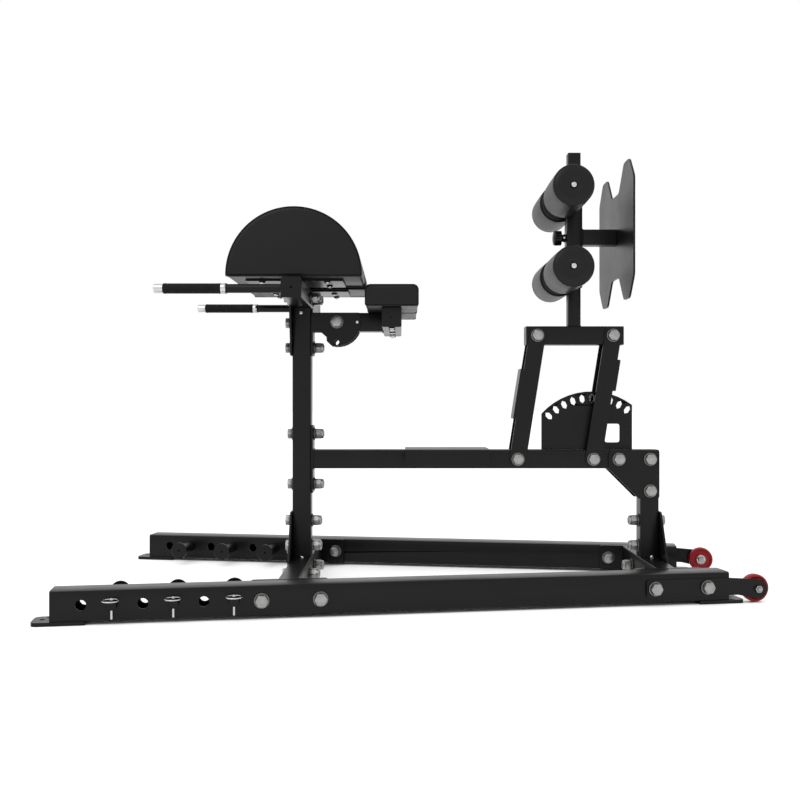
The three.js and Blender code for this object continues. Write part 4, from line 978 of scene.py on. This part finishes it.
def peg_body():
    """A turned peg along z: tip at -14, shoulder at 70.3, disc from 159.3 to 165.3 with a centre hole."""
    return turned([
        (0, -14), (10.5, -14), (11.5, -12.8), (11.7, -12), (11.7, 70.3), (14.4, 70.3), (15, 71),
        (15, 159.3), (23, 159.3), (24, 160.2), (24, 164.4), (23.1, 165.3), (3, 165.3), (2.6, 164.9),
        (2.6, 156), (0, 156),
    ], sides=48)


def ring_pin():
    """A pin along z through the peg's tip, with a round head and a wire ring that lies flat."""
    pin = turned([(0, -32), (1.9, -31.8), (2.75, -30), (2.75, 11), (4.6, 11.7), (4.8, 13.4), (4.2, 15),
                  (2.6, 15.9), (0, 16.1)], sides=24)
    angle = np.arange(48) * math.tau / 48
    across, up = RING_RADIUS * np.cos(angle), RING_RADIUS * np.sin(angle)
    path = np.stack([across, up - RING_RADIUS, np.full(48, 13.2)], axis=1)
    return joined(pin, swept(path, ring_section(1.35, 12), normal=(0, 0, 1)))


for name, side in SIDES.items():
    for peg in (1, 2, 3):
        x = peg * 2 * PEG_SPACING
        at = on_rail(side, x, 0, PEG_Z)
        shape = aimed(peg_body(), at, -rail_way(side))
        piece(f"{name}_peg_{peg}", shape, "powder_coat", "frame", stands_for=[f"{name}_band_peg_{peg}"])
        pin, faces = ring_pin()
        out = rail_way(side)
        along = np.cross([0, 0, 1], out)
        tip = on_rail(side, x, -7, PEG_Z)
        turned_pin = pin[:, :1] * along - pin[:, 1:2] * out + pin[:, 2:] * np.array([0, 0, 1]) + tip
        piece(f"{name}_ring_pin_{peg}", (turned_pin, faces), "chrome", "frame")


# Small screws

PAD_PLATE_FLOOR = 797.3
KNEE_BAR_FLOOR = 683
PAD_SCREWS = [(x, y) for x in (-83, 80) for y in (95, 188)]
KNEE_SCREWS = (-172, -110, 0, 110, 172)
FRAME_SCREWS = ((-2.6, 733.6), (0, 77), (REAR_X + 6, 79))


def pan_screw(at, way, radius=6, height=3.4, start=0):
    """A low domed screw head with a round-edged socket in its middle."""
    socket = radius * 0.42
    turn = np.linspace(0, math.pi / 2, 7)[:-2]
    dome = [(radius * math.cos(t), start + height * 0.35 + height * 0.65 * math.sin(t)) for t in turn]
    rim = [(socket + 0.4, start + height), (socket, start + height - 0.4), (socket, start + height * 0.4)]
    shape = turned([(0, start - 1), (radius, start - 1), *dome, *rim, (0, start + height * 0.4)], sides=32)
    return aimed(shape, at, way)


def spaced_screws(name, body, spots):
    """Screws seen from below, each on a moulded collar that keeps its head off the steel."""
    down = (0, 0, -1)
    collars = [aimed(round_pin(8.4, 0.5, 0, 3, steps=3), at, down) for at in spots]
    piece(f"{name}_spacers", joined(*collars), "black_plastic", body)
    piece(f"{name}_screws", joined(*[pan_screw(at, down, start=3) for at in spots]), "chrome", body)


for name, side in SIDES.items():
    spots = [place(x, side * y, PAD_PLATE_FLOOR) for x, y in PAD_SCREWS]
    spaced_screws(f"{name}_pad", "frame", spots)
spaced_screws("knee_pad", "knee_arm", [place(KNEE_X, y, KNEE_BAR_FLOOR) for y in KNEE_SCREWS])
frame_screws = [pan_screw(place(x, -HALF_TUBE, z), (0, -1, 0), radius=5.6) for x, z in FRAME_SCREWS]
piece("frame_screws", joined(*frame_screws), "chrome", "frame")


# Weld beads: a rippled fillet laid round a tube where it meets another

def tube_outline(half, corner, spacing=1.1):
    """Evenly spaced points round a square with round corners, centred on nought."""
    turn = np.linspace(0, math.pi / 2, 5)
    inner = half - corner
    centres = [(inner, inner), (-inner, inner), (-inner, -inner), (inner, -inner)]
    starts = np.arange(4) * math.pi / 2
    loop = [(u + corner * math.cos(start + t), v + corner * math.sin(start + t))
            for start, (u, v) in zip(starts, centres) for t in turn]
    return evenly(np.array(loop), spacing=spacing)


def weld_bead(loop, radius, ripple=3.4, swing=0.35):
    """A round bead along a closed loop in x and y. Its radius swells once in every ripple:
    r = radius + swing * |sin(pi s / ripple)|, and a slow wave moves it up and down."""
    step = np.linalg.norm(np.roll(loop, -1, axis=0) - loop, axis=1)
    s = np.concatenate([[0], np.cumsum(step)[:-1]])
    r = radius + swing * np.abs(np.sin(math.pi * s / ripple)) - swing
    lift = 0.25 * np.sin(s / 7.3) + 0.15 * np.sin(s / 3.1)
    along = np.roll(loop, -1, axis=0) - np.roll(loop, 1, axis=0)
    along /= np.linalg.norm(along, axis=1, keepdims=True)
    out = np.stack([along[:, 1], -along[:, 0]], axis=1)
    angle = np.arange(10) * math.tau / 10
    flat = loop[:, None] + (r[:, None] * np.cos(angle))[:, :, None] * out[:, None]
    high = lift[:, None] + r[:, None] * np.sin(angle)
    grid = np.concatenate([flat, high[:, :, None]], axis=2)
    return tiled(np.concatenate([grid, grid[:1]]))


def tube_weld(at, way, half=HALF_TUBE, corner=4, radius=2.6):
    """A bead round the end of a square tube that runs along way."""
    return aimed(weld_bead(tube_outline(half, corner), radius), at, way)


ALONG = (1, 0, 0)
for name, body, bead in (
    ("frame", "frame", tube_weld(place(30.3, 0, BEAM_Z), ALONG)),
    ("knee_arm", "knee_arm", tube_weld(place(KNEE_PIVOT[0] + 122.5, 0, KNEE_PIVOT[1]), ALONG)),
    ("foot_post", "foot_carrier",
     tube_weld(place(POST_X, 0, BEAM_Z + LEAN_Z + HALF_TUBE), (0, 0, 1), 17, 3, 2.2)),
    ("carriage", "foot_carriage",
     tube_weld(place(POST_X + HALF_SLEEVE, 0, CARRIAGE_Z), ALONG, HALF_SLEEVE, 4, 2.2)),
):
    piece(f"{name}_welds", bead, "powder_coat", body, sharp=80)


# Floor, light and camera

FLOOR_GLOW = 0.5


def seen_directly(tree):
    """A mask of the rays that come from the camera or from a glossy surface."""
    path = node(tree, "ShaderNodeLightPath")
    return node(tree, "ShaderNodeMath",
                {0: path.outputs["Is Camera Ray"], 1: path.outputs["Is Glossy Ray"]},
                operation="MAXIMUM").outputs[0]


def studio_floor():
    """A wide pale floor that keeps a dark contact shadow under the steel and turns white in the open."""
    size = 40.0
    mesh = bpy.data.meshes.new("studio_floor")
    corners = [(-size, -size, 0), (size, -size, 0), (size, size, 0), (-size, size, 0)]
    mesh.from_pydata(corners, [], [(0, 1, 2, 3)])
    floor = linked("studio_floor", mesh)
    material = bpy.data.materials.new("pale_floor")
    material.use_nodes = True
    tree = material.node_tree
    shader = tree.nodes["Principled BSDF"]
    shader.inputs["Roughness"].default_value = 0.9
    shader.inputs["Specular IOR Level"].default_value = 0.1
    where = node(tree, "ShaderNodeTexCoord").outputs["Object"]
    speck = node(tree, "ShaderNodeTexNoise", {"Vector": where, "Scale": 30.0, "Detail": 4.0})
    tone = node(tree, "ShaderNodeMix",
                {0: speck.outputs["Fac"], 6: (0.78, 0.78, 0.78, 1), 7: (0.82, 0.82, 0.82, 1)},
                data_type="RGBA")
    tree.links.new(tone.outputs[2], shader.inputs["Base Color"])
    open_sky = node(tree, "ShaderNodeAmbientOcclusion", {"Distance": 0.09}, samples=8)
    clear = node(tree, "ShaderNodeMapRange",
                 {"Value": open_sky.outputs["AO"], "From Min": 0.12, "From Max": 0.5})
    shown = node(tree, "ShaderNodeMath", {0: seen_directly(tree), 1: clear.outputs["Result"]},
                 operation="MULTIPLY")
    lift = node(tree, "ShaderNodeMath", {0: shown.outputs[0], 1: FLOOR_GLOW}, operation="MULTIPLY")
    shader.inputs["Emission Color"].default_value = (1, 1, 1, 1)
    tree.links.new(lift.outputs[0], shader.inputs["Emission Strength"])
    mesh.materials.append(material)


def studio_world():
    """Even white light from all round. Seen directly or in gloss it is plain white."""
    world = bpy.data.worlds.new("studio")
    bpy.context.scene.world = world
    world.use_nodes = True
    tree = world.node_tree
    light = tree.nodes["Background"]
    light.inputs["Color"].default_value = (1, 1, 1, 1)
    level = node(tree, "ShaderNodeMapRange", {"Value": seen_directly(tree), "To Min": 0.85, "To Max": 1.0})
    tree.links.new(level.outputs["Result"], light.inputs["Strength"])


def soft_lamp(name, at, target, size, power):
    """A square area lamp aimed at a point."""
    lamp = bpy.data.lights.new(name, "AREA")
    lamp.shape = "SQUARE"
    lamp.size = size
    lamp.energy = power
    made = linked(name, lamp)
    made.location = at
    made.rotation_euler = (Vector(target) - Vector(at)).to_track_quat("-Z", "Y").to_euler()


studio_floor()
studio_world()
soft_lamp("key_light", (-1.6, -2.4, 3.2), (0, 0, 0.4), 2.2, 30)

camera = bpy.data.cameras.new("camera")
camera.lens = 45
camera.sensor_width = 36
eye = linked("camera", camera)
eye.location = place(263, -2700, 499.5) * METRES
eye.rotation_euler = (math.pi / 2, 0, 0)
bpy.context.scene.camera = eye
bpy.context.scene.view_settings.view_transform = "Standard"
